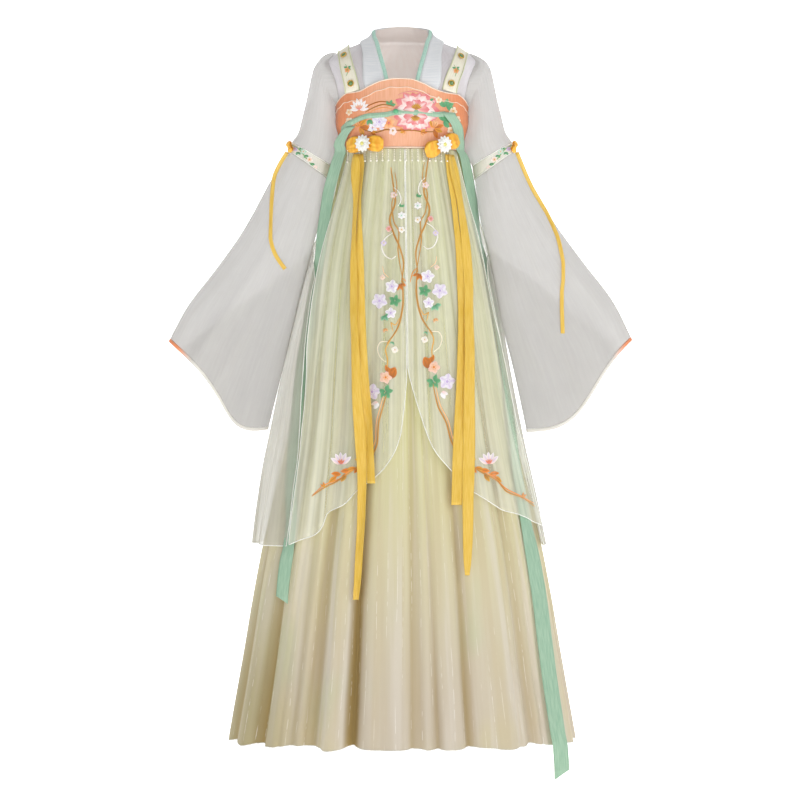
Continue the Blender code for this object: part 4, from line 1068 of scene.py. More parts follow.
def bodice_front():
    angle = np.linspace(-89.7, 89.7, many(180))
    top = curve(BODICE_TOP, curve(BODICE_WIDTH, -120) * np.sin(np.radians(angle)))

    def ripple(f):
        return 0.5 * noise(61, angle / 6, f * 3) + 0.35 * noise(62, angle / 2.2, f * 2) * f**2

    obj = cloth("bodice_front", "bodice_front_silk", bodice_rows(angle, top, 50, ripple), peach, LINED_WALL)
    inner, inner_top = angle[5:-5], top[5:-5]
    wavy = inner_top - 17 + 0.9 * np.sin(inner / 2)
    join("bodice_piping", [tube("bodice_edge", bodice(angle, top + 0.2, 0.3), 1.3, cream_pipe),
                           tube("bodice_low", bodice(angle, SEAM_Z + 2.4, 2.0), 1.5, cream_pipe),
                           tube("bodice_line", bodice(inner, wavy, 1.3), 0.75, cream_pipe)])
    return obj


def bodice_back():
    angle = np.linspace(90.3, 269.7, many(110))
    top = -114 + 6 * np.cos(np.radians(angle - 180)) ** 2
    rows = bodice_rows(angle, top, 40, lambda f: 0.5 * noise(63, angle / 7, f * 3))
    cloth("bodice_back", "bodice_back_silk", rows, peach, LINED_WALL)
    join("bodice_back_piping", [tube("back_edge", bodice(angle, top + 0.2, 0.3), 1.3, cream_pipe),
                                tube("back_low", bodice(angle, SEAM_Z + 2.4, 2.0), 1.5, cream_pipe)])


def strap(name, points):
    """A strap over the shoulder, and the line and directions along it."""
    middle = evenly(torso_at([(x, behind, z) for x, z, behind in points], 0), STRAP_STATIONS)
    along = unit(np.gradient(middle, axis=0))
    out = middle * [0.35, 1, 0] + [0, 0, 60]
    out = unit(out - along * (out * along).sum(axis=1, keepdims=True))
    across = np.cross(along, out)
    stations = np.linspace(0, 1, STRAP_STATIONS)
    line = middle + out * (7.0 - 1.6 * np.sin(math.pi * stations))[:, None]
    fine = np.linspace(0, 1, many(70))
    line, out, across = (curves(stations, rows, fine) for rows in (line, out, across))
    half = strap_half(fine)[:, None]
    grid = np.stack([line + across * half * s - out * 0.5 * abs(s) for s in np.linspace(-1, 1, 9)], axis=1)
    if np.cross(grid[1, 4] - grid[0, 4], grid[0, 5] - grid[0, 4]) @ out[0] < 0:
        grid = grid[:, ::-1]
    cloth(name, name + "_silk", grid, strap_silk, BAND_WALL)
    edges = [line + across * (half - 1) * s + out * 0.6 for s in (-1, 1)]
    join(name + "_edges", [tube(f"{name}_edge_{k}", edge, 1.2, strap_edge) for k, edge in enumerate(edges)])
    return line, out


def button(name, centre, facing):
    """A domed stone in a ring."""
    facing, right, up = facing_frame(facing)
    around = circle(all_round(12), right, up)
    tube(name + "_ring", centre + facing * 0.6 + around * (BUTTON_RADIUS - 1.4), 1.4, gold, 8, True)
    rows = []
    for a in np.linspace(0.02, GEM_ARC, 7):
        spread = (BUTTON_RADIUS - 2.4) * math.sin(a) / math.sin(GEM_ARC)
        rows.append(centre + facing * (3.2 * math.cos(a) - 0.6) + around * spread)
    cloth(name, name + "_gem", rows, green_gem, wrap=True)


def belt():
    """A twisted ribbon across the bodice, thicker at its left end, and the bead on it."""
    line = path(BELT, np.linspace(0, 1, many(120)))
    rows = []
    for rise in np.linspace(5, -5, 7):
        z = line[:, 1] + rise * (1 + 0.5 * np.exp(-((line[:, 0] + 112) / 16) ** 2))
        lift = 2.2 + 0.7 * np.cos(rise * 0.9) + 0.5 * noise(71, line[:, 0] / 9, rise / 3)
        rows.append(bodice(angle_at(line[:, 0], curve(BODICE_WIDTH, z)), z, lift))
    cloth("belt", "belt_silk", rows, mint, BELT_WALL)
    spot = bodice(angle_at(np.float64(-12.0), curve(BODICE_WIDTH, -132)), -132.0, 6)
    turn = all_round(20)
    round_bead = circle(turn, [BEAD_WIDE, 0, 0], [0, BEAD_DEEP, 0])
    rows = [spot + round_bead * math.sin(a) + [0, 0, BEAD_WIDE * math.cos(a)]
            for a in np.linspace(0.05, math.pi - 0.05, 9)]
    shell("belt_bead", rows, green_bead, True)


# ---------------------------------------------------------------- skirts, ties and ribbons


def crease(angle, z):
    """Narrow folds that stay sharp down to the hem. Behind, they follow the large folds' own rhythm."""
    angle, z = np.broadcast_arrays(np.asarray(angle, float), np.asarray(z, float))
    out = np.zeros(angle.shape)
    behind = [(a + 2.2 * math.sin(a), a - 1.5 * math.sin(a), 1.2 + 0.3 * math.sin(3 * a),
               -5.2 + 1.4 * math.sin(2 * a), -560 - 160 * math.sin(5 * a)) for a in range(84, 282, 9)]
    for low_at, high_at, spread, depth, start in CREASES + behind:
        grow = np.clip((z - start) / (HEM_Z + 60 - start), 0, 1)
        away = apart(angle, high_at + (low_at - high_at) * grow)
        out = out + depth * grow**0.7 * np.exp(-np.abs(away / spread) ** 1.5)
    return out


def relief_of(angle, z, small):
    """How far each point of the skirt stands out from the cloth round it."""
    out = fold(angle, z) + small
    reach = int(16 * len(angle) / 360)
    return out - sum(np.roll(out, k, axis=1) for k in range(-reach, reach + 1)) / (2 * reach + 1)


def main_skirt():
    angle = np.arange(0, 360, 2 if COARSE else 0.5)
    zs = np.concatenate([np.linspace(SEAM_Z, -330, many(36)), np.linspace(-336, HEM_Z, many(98))])
    level = zs[:, None] + 0 * angle
    ease = np.clip((SEAM_Z - level) / 60, 0, 1)
    small = crease(angle, level) + 0.8 * drape(angle, level) * ease
    rows = skirt(angle, level, small)
    relief = relief_of(angle, level, small)
    scallop = np.clip((-1250 - level) / 122, 0, 1) ** 2
    ruffle = 1.6 * noise(17, angle / 12, 0.0, 30) + 1.0 * noise(18, angle / 5, 0.0, 72)
    rows[:, :, 2] += scallop * (ruffle - 0.28 * relief)
    obj = cloth("skirt", "skirt_cloth", rows, skirt_finish, wrap=True)
    # Painted shade: how deep each point lies in a fold valley, which the skirt's material paints darker.
    shade = obj.data.attributes.new("valley_shade", "FLOAT", "POINT")
    shade.data.foreach_set("value", np.clip(-relief / 16, 0, 1).astype(np.float32).ravel())
    tube("skirt_hem", rows[-1][:: 2 if COARSE else 1] + [0, 0, 1.2], 0.9, rolled, 5, True)


def over_grid(start, end, hem, corner, seed):
    """Rows of an overskirt panel between its two edges, with ripples, curled edges and a ruffled hem."""
    wide = abs(curve(end, SEAM_Z) - curve(start, SEAM_Z))
    count = many(wide / OVER_STEP)
    across = np.linspace(0, 1, count)
    low_start, low_end = curve(start, -940), curve(end, -940)
    bottom = curve(hem, low_start + (low_end - low_start) * across)
    edge = np.minimum(across, 1 - across) * wide
    rows = []
    for f in np.linspace(0, 1, many(120)) ** 1.15:
        z = SEAM_Z - 0.5 + (bottom - SEAM_Z) * f
        first, last = curve(start, z), curve(end, z)
        angle = first + (last - first) * across
        off = stand_off(angle, z) + corner * f**4 * across**6
        own = (1.7 * noise(seed, angle / 3.1, f * 3) * min(1, f * 5)
               + 2.6 * noise(seed + 1, angle / 5.5, f * 2) * f**3)
        curl = 2.0 * np.exp(-edge / 1.2) * noise(seed + 2, np.full_like(edge, 3.3), f * 14)
        ruffle = f**9 * noise(seed + 3, across * count / 16, 0.5)
        row = skirt(angle, z, off + own + curl * min(1, f * 6) + 4.5 * ruffle)
        row[:, 2] += 3.2 * f**9 * noise(seed + 4, across * count / 13, 0.5)
        rows.append(row)
    return np.array(rows)


def over_panel(name, finish, start, end, hem, corner, seed):
    grid = over_grid(start, end, hem, corner, seed)
    obj = cloth(name, name + "_cloth", grid, finish)
    line = np.concatenate([grid[::2, 0], grid[-1, 1:-1:2], grid[::-2, -1]])
    tube(name + "_hem", line, 0.95, rolled, 5)
    return obj


def hung_strip(name, spots, count, width):
    """A tie that hangs from the bow, slightly cupped, with a slanted end."""
    middle, across = hung_line(spots, many(count))
    side = np.sign(spots[0][0])
    facing = np.stack([across[:, 1], -across[:, 0], across[:, 2]], axis=-1) * side
    columns = []
    for share in np.linspace(-1, 1, 9):
        cup = 0.3 * share**2 + 0.5 * noise(91, middle[:, 2] / 34, share * 1.5)
        column = middle + across * share * width / 2 + facing * cup[:, None]
        column[-1, 2] += share * width * 0.33
        columns.append(column)
    grid = np.stack(columns if side > 0 else columns[::-1], axis=1)
    cloth(name, name + "_silk", grid, mint, RIBBON_WALL)


def front_ribbon(name, spots, off, seed):
    """A ribbon that hangs over the overskirt, with a slow curl."""
    count = many(110)
    line = path([(x * ACROSS_WEIGHT, z, w) for x, z, w in spots], np.linspace(0, 1, count))
    hold = np.clip(np.linspace(0, 1, count) * 6, 0, 1)
    columns = []
    for share in np.linspace(-1, 1, 9):
        x, z = line[:, 0] / ACROSS_WEIGHT + share * line[:, 2] / 2, line[:, 1]
        angle = angle_at(x, curve(SKIRT_WIDTH, np.minimum(z, SEAM_Z)))
        curl = 1.5 * noise(seed, z / 60, share * 1.2) + 1.3 * share * np.sin(z / 70 + seed)
        lift = stand_off(angle, z) + off + 3 * np.clip((-z - 500) / 250, 0, 1)
        columns.append(skirt(angle, z, lift + 1.0 + curl * hold))
    cloth(name, name + "_silk", np.stack(columns, axis=1), yellow, ORGANZA_WALL)


def silk_flower(name, centre, facing):
    """Two rings of pointed silk petals round a stitched heart."""
    facing, right, up = facing_frame(facing)
    points, faces = [], []
    for count, reach, wide, rise, lift, phase in PETAL_RINGS:
        for k in range(count):
            a = phase + k * 2 * math.pi / count
            out = right * math.cos(a) + up * math.sin(a)
            side = np.cross(facing, out)
            base = len(points)
            for t in np.linspace(0, 1, 7):
                w = wide * math.sin(math.pi * min(1, 0.12 + 0.88 * t)) ** 0.75 * (1 if t < 0.99 else 0.02)
                for s in np.linspace(-1, 1, 5):
                    high = lift + rise * math.sin(math.pi * t * 0.85)
                    high -= 1.1 * (1 - s * s) * math.sin(math.pi * t)
                    points.append(centre + out * (1.5 + (reach - 1.5) * t) + side * w * s + facing * high)
            corners = [base + i * 5 + j for i in range(6) for j in range(4)]
            faces += [(q, q + 5, q + 6, q + 1) for q in corners]
    petals = mesh_of(name + "_petals", np.array(points) * MM, faces, silk_white)
    thicken(petals, PETAL_WALL)
    around = circle(all_round(24), right, up)
    rows = [centre + facing * (2.2 + 3.4 * math.cos(a)) + around * 4.2 * math.sin(a)
            for a in np.linspace(0.02, 1.5, 6)]
    shell(name + "_heart", rows, silk_core, True)
    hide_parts(name)


# ---------------------------------------------------------------- embroidery

WHITE, LILAC, PINK, ROSE = srgb(252, 249, 250), srgb(200, 176, 224), srgb(250, 206, 198), srgb(224, 108, 116)
PEACH, GOLD, ORANGE, BROWN = srgb(250, 196, 150), srgb(222, 166, 56), srgb(236, 134, 40), srgb(156, 88, 38)
GREEN, MINT, DARK, CREAM = srgb(112, 180, 128), srgb(152, 208, 174), srgb(72, 142, 96), srgb(250, 240, 216)
RUST = srgb(188, 130, 68)
STROKE_STEP, STROKE_TIP = 2.6, 0.35  # millimetres between points of a stem, and its width at its tips
PETAL_RISE = 0.6
BACKWARDS = Vector((0, 1, 0))


def blend_of(a, b, t):
    return np.array(a) * (1 - t) + np.array(b) * t


class Stitches:
    """Raised embroidery, drawn as seen from the front in millimetres and laid on its carrier."""

    def __init__(self, carrier, lift=0.0):
        self.tree = tree_of(carrier)
        self.lift = lift
        self.points, self.faces, self.uv, self.tint = [], [], [], []
        self.last = -0.1

    def spot(self, x, z, high):
        hit, normal, _, _ = self.tree.ray_cast(Vector((x * MM, -1, z * MM)), BACKWARDS)
        if hit is None:
            hit, normal, _, _ = self.tree.find_nearest(Vector((x * MM, self.last, z * MM)))
        if normal.y > 0:
            normal = -normal
        self.last = hit.y
        return hit + normal * (high + self.lift) * MM

    def patch(self, grid, high, colour, along, across):
        """A grid of (x, z), with a height, a colour and a place on the thread for each point."""
        rows, cols = high.shape
        start = len(self.points)
        for i in range(rows):
            for j in range(cols):
                self.points.append(self.spot(grid[i, j, 0], grid[i, j, 1], high[i, j]))
                self.tint.append((*colour[i, j], 1))
        for i in range(rows - 1):
            for j in range(cols - 1):
                a = start + i * cols + j
                self.faces.append((a, a + cols, a + cols + 1, a + 1))
                for m, n in ((i, j), (i + 1, j), (i + 1, j + 1), (i, j + 1)):
                    self.uv.append((across[m, n] * MM, along[m, n] * MM))

    def petal(self, x, z, turn, reach, wide, inner, outer, point=0.0, start=0.06, vein=None, base=0.3):
        """point 0 is a round petal, and 1 a leaf with a sharp tip."""
        t, s = np.linspace(0, 1, 7)[:, None], np.linspace(-1, 1, 5)[None, :]
        a = math.radians(turn)
        out, side = np.array([math.sin(a), math.cos(a)]), np.array([math.cos(a), -math.sin(a)])
        round_form = np.sin(math.pi * t**0.75) ** 0.55
        leaf_form = np.sin(math.pi * t**0.9) ** 0.9
        form = round_form * (1 - point) + leaf_form * point
        along = reach * (start + (1 - start) * t) + 0 * s
        across = wide / 2 * form * s
        grid = np.array([x, z]) + along[..., None] * out + across[..., None] * side
        high = base + PETAL_RISE * (1 - s**2) * np.sin(math.pi * t)
        colour = np.array([[blend_of(inner, outer, float(tt) ** 0.8)] * 5 for tt in t[:, 0]])
        if vein is not None:
            colour[1:-1, 2] = blend_of(colour[1:-1, 2], vein, 0.55)
        self.patch(grid, high, colour, along, across)

    def blossom(self, x, z, size, inner, outer, heart, count=5, turn=0.0, vein=None):
        for k in range(count):
            self.petal(x, z, turn + k * 360 / count, size, size * 4.4 / count, inner, outer, vein=vein,
                       base=0.3 + 0.12 * (k % 2))
        self.knot(x, z, size * 0.17, heart)
        for k in range(count):
            a = math.radians(turn + (k + 0.5) * 360 / count)
            self.knot(x + math.sin(a) * size * 0.34, z + math.cos(a) * size * 0.34, size * 0.06, heart)

    def knot(self, x, z, size, colour):
        t, s = np.linspace(0.02, 1, 4)[:, None], np.arange(9)[None, :] * math.pi / 4
        grid = np.stack([x + size * t * np.cos(s), z + size * t * np.sin(s)], axis=-1)
        high = 0.9 + 0.6 * np.cos(t * math.pi / 2) + 0 * s
        colours = np.broadcast_to(colour, (*high.shape, 3))
        self.patch(grid, high, colours, size * t + 0 * s, size * t * np.cos(s))

    def leaves(self, x, z, size, turns, inner, outer, wide=0.55):
        for turn in turns:
            self.petal(x, z, turn, size, size * wide, inner, outer, 1.0,
                       vein=BROWN if outer is ORANGE else DARK)

    def stroke(self, points, wide, edge, middle):
        """A stem or tendril along a smooth line, which thins towards its ends."""
        length = run_of(points)[-1]
        count = max(6, int(length / STROKE_STEP * FINE))
        line = evenly(points, count)
        line[1:-1] = (line[:-2] + 2 * line[1:-1] + line[2:]) / 4
        step = unit(np.gradient(line, axis=0))
        side = np.stack([step[:, 1], -step[:, 0]], axis=-1)
        f = np.linspace(0, 1, count)
        fullness = np.sin(math.pi * np.clip(f, 0.02, 0.98)) ** 0.5
        width = wide * (STROKE_TIP + (1 - STROKE_TIP) * fullness) / 2
        s = np.array([-1, -0.45, 0.45, 1])
        across = width[:, None] * s
        grid = line[:, None] + across[..., None] * side[:, None]
        high = 0.3 + 0.5 * (1 - s**2)[None, :] + np.zeros((count, 1))
        colour = np.array([[edge, middle, middle, edge]] * count)
        self.patch(grid, high, colour, (f * length)[:, None] + 0 * s, across)

    def done(self, name):
        mesh_of(name, self.points, self.faces, silk_thread, self.uv, self.tint)


# Stems that wind round each other from the seam, then tendrils: width, edge, middle and line.
STEMS = [
    (3.8, GOLD, RUST, [(52, -222), (47, -258), (43, -290), (54, -326), (47, -352), (35, -380), (27, -414),
                       (31, -450)]),
    (2.4, GOLD, RUST, [(44, -232), (40, -262), (50, -296), (46, -330), (36, -352), (38, -384), (33, -420),
                       (27, -452)]),
    (3.8, GOLD, RUST, [(29, -446), (28, -486), (31, -512), (38, -538), (50, -558), (60, -570)]),
    (2.4, PEACH, GOLD, [(35, -520), (44, -534), (52, -528), (48, -546)]),
    (2.6, CREAM, CREAM, [(58, -566), (70, -566), (78, -580), (73, -596), (62, -606)]),
    (2.8, PEACH, GOLD, [(52, -562), (62, -582), (58, -604), (60, -622)]),
    (2.6, CREAM, WHITE, [(48, -352), (62, -362), (70, -378), (64, -396), (50, -404), (42, -398)]),
    (2.2, CREAM, WHITE, [(46, -262), (36, -272), (32, -288), (38, -300)]),
    (1.8, GOLD, ORANGE, [(30, -440), (20, -452), (16, -470)]),
    (1.8, CREAM, PEACH, [(56, -440), (66, -430), (68, -418)]),
]
# Blossoms: place, size, inner and outer colours, heart, number of petals, turn and vein.
BUDS = [
    ((46, -277), 7.5, WHITE, PINK, GOLD, 5, 20, None),
    ((56, -344), 6.5, ROSE, PINK, GOLD, 4, 10, None),
    ((31, -318), 8, WHITE, WHITE, MINT, 6, 0, None),
    ((31, -346), 7, CREAM, WHITE, GOLD, 5, 30, None),
    ((66, -372), 6, WHITE, LILAC, GOLD, 4, 0, None),
]
UPPER_CLUSTER = [
    ((50, -458), 14, WHITE, WHITE, LILAC, 5, 12, LILAC),
    ((74, -486), 16, WHITE, blend_of(WHITE, LILAC, 0.35), LILAC, 5, 40, LILAC),
    ((52, -510), 11.5, WHITE, WHITE, LILAC, 5, 0, LILAC),
    ((68, -440), 5.5, CREAM, PINK, GOLD, 4, 0, None),
]
# Rings of a peony, from its rim inwards: reach and width for its size, inner and outer colours.
PEONY_RINGS = [(1.0, 0.56, PINK, ROSE), (0.80, 0.50, WHITE, PINK), (0.56, 0.40, PINK, ROSE)]
BODICE_STEMS = [
    (2.6, ORANGE, BROWN, [(-78, -128), (-60, -117), (-40, -112), (-16, -116)]),
    (2.6, GOLD, BROWN, [(-72, -132), (-54, -123), (-36, -118), (-16, -122)]),
    (1.8, PEACH, ORANGE, [(-66, -134), (-50, -127), (-34, -124), (-20, -127)]),
    (3.2, GOLD, BROWN, [(-76, -166), (-52, -172), (-30, -167), (-6, -169), (18, -168), (44, -171),
                        (72, -170)]),
    (2.0, PEACH, ORANGE, [(-70, -158), (-46, -164), (-20, -160), (0, -164)]),
    (1.8, PINK, ROSE, [(-8, -100), (6, -94), (22, -92), (40, -96), (54, -104)]),
]
# Leaves and leaf sprays: place, size and the way each leaf points.
BODICE_LEAVES = [(86, -122, 18, (10, 60, -50, 100)), (80, -150, 18, (80, 130, 30, -20)),
                 (-24, -120, 12, (80, 20, -40)), (-64, -146, 12, (200, 150)), (52, -112, 12, (60, 100))]
BODICE_SPRAYS = [(-84, -160, 22, (0, 45, -60, 100, 150, -20)), (62, -164, 21, (70, 110, 30, 160, -30, 0)),
                 (-62, -172, 15, (120, 80, 160)), (36, -172, 14, (90, 60, 130)),
                 (6, -170, 12, (-70, -110, 200)), (100, -150, 12, (0, 60, 120))]
# Flowers of an elbow band: place, size, inner and outer colours.
BAND_FLOWERS = [(205, -190, 6, WHITE, LILAC), (196, -206, 6.5, WHITE, MINT), (184, -222, 7, PEACH, WHITE),
                (174, -238, 6, WHITE, PINK), (212, -200, 5, LILAC, LILAC)]
# Where each border's stems run down to the hem and along it.
BORDER_RIGHT = [(70, -712), (86, -744), (96, -780), (112, -806), (150, -838), (186, -858), (206, -880),
                (236, -892), (262, -910)]
BORDER_LEFT = [(-38, -716), (-46, -748), (-48, -782), (-62, -812), (-98, -838), (-126, -858), (-150, -870),
               (-176, -888)]


def border(carrier, side, shift, drop, low, name):
    """Flowering branches down the front edge of an overskirt panel, then out along its hem."""
    work = Stitches(carrier)

    def put(x, z):
        return side * (x - shift), z - drop

    for wide, edge, middle, points in STEMS:
        work.stroke([put(*p) for p in points], wide, edge, middle)
    for (x, z), size, inner, outer, heart, count, turn, vein in BUDS:
        work.blossom(*put(x, z), size, inner, outer, heart, count, turn, vein)
    work.leaves(*put(32, -302), 9, (-20, 50), DARK, GREEN)
    # the upper cluster
    work.leaves(*put(34, -452), 15, (200 * side, 160 * side, 250 * side), BROWN, ORANGE, 0.4)
    work.leaves(*put(44, -486), 13, (90, 20, 300, 160, 230), DARK, GREEN, 0.62)
    work.leaves(*put(64, -514), 13, (150, 90, 210), DARK, MINT, 0.62)
    for (x, z), size, inner, outer, heart, count, turn, vein in UPPER_CLUSTER:
        work.blossom(*put(x, z), size, inner, outer, heart, count, turn, vein)
    work.leaves(*put(64, -540), 9, (130, 190), ORANGE, PEACH)
    # a small flower between
    work.blossom(*put(44, -582), 7.5, WHITE, CREAM, GOLD, 4, 20)
    work.leaves(*put(48, -566), 7, (170, 240), DARK, MINT)
    # the lower cluster
    work.leaves(*put(50, -640), 24, (-20 * side, 12 * side), BROWN, ORANGE, 0.46)
    work.leaves(*put(56, -628), 18, (20 * side, -48 * side), BROWN, ORANGE, 0.46)
    work.leaves(*put(62, -664), 15, (80, 150, 220, 280, 20), DARK, GREEN, 0.6)
    work.blossom(*put(62, -636), 13, PEACH, PINK, ORANGE, 5, 20, PEACH)
    work.blossom(*put(88, -664), 16.5, WHITE, blend_of(WHITE, LILAC, 0.45), LILAC, 5, 10, LILAC)
    work.petal(*put(76, -684), 150 * side, 16, 9, WHITE, WHITE)
    work.petal(*put(76, -684), 110 * side, 15, 8, PINK, WHITE)
    hem_work(work, side, put(60, -668), low)
    work.done(name)


def hem_work(work, side, top, low):
    """Stems that run out along the hem, with the leaves and the lily where they turn."""
    half = len(low) // 2
    work.stroke([top, *low[: half + 1]], 3.6, GOLD, RUST)
    work.stroke([(x + side * 4, z + 3) for x, z in (top, *low[:half])], 2.8, GOLD, PEACH)
    work.stroke(low[half - 1 :], 3.2, GOLD, RUST)
    winding = [(x - side * 2, z + 6 - 3 * (k % 2)) for k, (x, z) in enumerate(low[half:])]
    work.stroke(winding, 2.6, PEACH, ORANGE)
    middle_x, middle_z = low[half]
    for k, f in enumerate(np.linspace(0, 1, 9)):
        x, z = middle_x + side * (-46 + 74 * f), middle_z + 34 * (1 - f) ** 1.5 - 10 * f
        work.petal(x, z, side * (115 + 34 * math.sin(k * 2.4)), 22, 9.5, BROWN if k % 3 == 0 else ORANGE,
                   ORANGE if k % 2 else GOLD, 1.0, vein=BROWN)
    x, z = middle_x + side * 20, middle_z + 12
    for turn in (-58, -30, -4, 22, 50):
        work.petal(x, z, turn, 25, 10, PINK, WHITE, 0.55, vein=LILAC, base=0.5)
    for turn in (-40, -16, 8, 34):
        work.petal(x, z, turn, 12, 3, ROSE, ORANGE, 1.0, base=1.0)
    work.leaves(*low[-2], 11, (side * 20, side * 60), GOLD, ORANGE, 0.4)


def peony(work, x, z, size, turns):
    """A fan of wide petals in three rings, rose at the rim and white within, as seen from the side."""
    first, last = turns
    for level, (reach, wide, inner, outer) in enumerate(PEONY_RINGS):
        count = 8 - level
        for k in range(count):
            turn = first + (last - first) * (k + 0.15 * (level % 2)) / (count - 1)
            spread = 0.74 + 0.42 * abs(math.sin(math.radians(turn)))
            work.petal(x, z, turn, size * reach * spread, size * wide, inner, outer,
                       vein=ROSE if k % 2 else WHITE, base=0.3 + 0.5 * level, start=0.08)
    middle = (first + last) / 2
    for k in range(8):
        work.petal(x, z, middle - 66 + k * 19, size * 0.30, 3.2, BROWN, GOLD, 0.8, base=2.1)
    work.knot(x + math.sin(math.radians(middle)) * 2, z + math.cos(math.radians(middle)) * 3, 4.5, GOLD)


def leaf_spray(work, x, z, size, turns):
    shades = (BROWN, ORANGE), (ORANGE, GOLD), (ORANGE, PEACH)
    for k, turn in enumerate(turns):
        reach = size * (1 - 0.12 * (k % 3))
        work.petal(x, z, turn, reach, size * 0.44, *shades[k % 3], 0.9, vein=BROWN, base=0.4 + 0.15 * (k % 2))


def bodice_work(carrier):
    """A peony above and below the belt, with blossoms, leaf sprays and branches crowded round it."""
    work = Stitches(carrier, lift=0.9)
    for wide, edge, middle, points in BODICE_STEMS:
        work.stroke(points, wide, edge, middle)
    for turn in range(-84, 85, 24):
        work.petal(-84, -127, turn, 25 - abs(turn) / 14, 7, WHITE, WHITE, 0.9, vein=PINK)
    for turn in (-40, -14, 14, 40):
        work.petal(-84, -127, turn, 12, 4, ROSE, PEACH, 1.0, base=1.0)
    for x, z, size, turns in BODICE_LEAVES:
        work.leaves(x, z, size, turns, DARK, GREEN)
    peony(work, 28, -127, 40, (-92, 92))
    peony(work, 26, -141, 37, (94, 268))
    work.blossom(-44, -152, 17, WHITE, blend_of(WHITE, LILAC, 0.35), LILAC, 5, 15, LILAC)
    work.blossom(-26, -154, 12, ORANGE, PEACH, ROSE)
    work.blossom(-58, -164, 10, WHITE, WHITE, LILAC, 5, 40)
    work.blossom(-18, -170, 9, WHITE, PINK, GOLD, 5, 20)
    for x, z, size, turns in BODICE_SPRAYS:
        leaf_spray(work, x, z, size, turns)
    for x, z, size in ((100, -128, 9), (108, -144, 8), (96, -166, 8), (-104, -148, 8), (72, -108, 7),
                       (-104, -130, 7)):
        work.blossom(x, z, size, PEACH, CREAM, GOLD, 5, x)
    work.done("bodice_embroidery")


def band_work(carrier, side):
    """A row of small flowers down the front of an elbow band."""
    work = Stitches(carrier, lift=0.6)
    stem = (222, -190), (206, -200), (190, -220), (172, -242)
    work.stroke([(side * x, z) for x, z in stem], 2.4, GOLD, GREEN)
    for k, (x, z, size, inner, outer) in enumerate(BAND_FLOWERS):
        work.leaves(side * (x - 5), z - 6, 8, (150 * side, 220 * side), DARK, GREEN)
        work.blossom(side * x, z, size, inner, outer, GOLD, 5, k * 20)
    work.done("elbow_band_flowers_" + ("left" if side < 0 else "right"))


def strap_work(carrier, x, z, name):
    """A small sprig between the two buttons."""
    work = Stitches(carrier, lift=0.7)
    work.stroke([(x - 4, z + 12), (x + 1, z), (x - 2, z - 12)], 1.6, GOLD, GREEN)
    work.leaves(x, z + 4, 8, (60, -70, 120), DARK, GREEN)
    work.blossom(x, z, 6.5, ORANGE, PEACH, GOLD, 5, 10)
    work.done(name)


# ---------------------------------------------------------------- beads


def bead_group():
    """Geometry Nodes that set a round bead on each point: a radius, times the size that the point carries."""
    group = bpy.data.node_groups.new("bead_strands", "GeometryNodeTree")
    socket = group.interface.new_socket
    socket("Geometry", in_out="INPUT", socket_type="NodeSocketGeometry")
    radius = socket("Radius", in_out="INPUT", socket_type="NodeSocketFloat")
    paint = socket("Finish", in_out="INPUT", socket_type="NodeSocketMaterial")
    socket("Geometry", in_out="OUTPUT", socket_type="NodeSocketGeometry")
    add, join_up = group.nodes.new, group.links.new
    start, end = add("NodeGroupInput"), add("NodeGroupOutput")
    bead, each = add("GeometryNodeMeshIcoSphere"), add("GeometryNodeInstanceOnPoints")
    size, real = add("GeometryNodeInputNamedAttribute"), add("GeometryNodeRealizeInstances")
    soft, dress = add("GeometryNodeSetShadeSmooth"), add("GeometryNodeSetMaterial")
    size.data_type = "FLOAT"
    size.inputs["Name"].default_value = "size"
    bead.inputs["Subdivisions"].default_value = 2
    join_up(start.outputs["Radius"], bead.inputs["Radius"])
    join_up(start.outputs["Geometry"], each.inputs["Points"])
    join_up(bead.outputs["Mesh"], each.inputs["Instance"])
    join_up(size.outputs[0], each.inputs["Scale"])
    join_up(each.outputs["Instances"], real.inputs["Geometry"])
    join_up(real.outputs["Geometry"], soft.inputs[0])
    join_up(soft.outputs[0], dress.inputs["Geometry"])
    join_up(start.outputs["Finish"], dress.inputs["Material"])
    join_up(dress.outputs["Geometry"], end.inputs[0])
    return group, radius.identifier, paint.identifier


def beads(name, spots, sizes, finish):
    """Round beads at given spots, by their sizes in millimetres, made with Geometry Nodes."""
    mesh = bpy.data.meshes.new(name + "_spots")
    mesh.from_pydata([tuple(p * MM) for p in spots], [], [])
    layer = mesh.attributes.new("size", "FLOAT", "POINT")
    layer.data.foreach_set("value", np.array(sizes, np.float32))
    carrier = placed(name + "_spots", mesh)
    modifier = carrier.modifiers.new("beads", "NODES")
    modifier.node_group, radius, paint = bead_group()
    modifier[radius], modifier[paint] = MM, finish
    graph = bpy.context.evaluated_depsgraph_get()
    made = bpy.data.meshes.new_from_object(carrier.evaluated_get(graph))
    bpy.data.objects.remove(carrier)
    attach(placed(name, made), "root")


# Strands of beads: how many, where the first hangs, their spacing, and the beads on each.
STRANDS, STRAND_FIRST, STRAND_STEP, STRAND_BEADS = 18, -108, 11.6, 7


def bead_rows(shape):
    """Short strands that hang from the seam over the overskirt, each with a larger bead at its end."""
    spots, sizes = [], []
    for k in range(STRANDS):
        x = STRAND_FIRST + k * STRAND_STEP
        for level in range(STRAND_BEADS):
            last = level == STRAND_BEADS - 1
            z = SEAM_Z - 3 - level * 3.3 - (1.2 if last else 0)
            hit = shape.ray_cast(Vector((x * MM, -1, z * MM)), BACKWARDS)[0]
            hit = hit or shape.find_nearest(Vector((x * MM, -0.1, z * MM)))[0]
            spots.append(np.array([x, hit.y / MM - 2.6, z]))
            sizes.append(2.3 if last else 1.15)
    beads("bead_strands", spots, sizes, pearl)


# ---------------------------------------------------------------- the robe

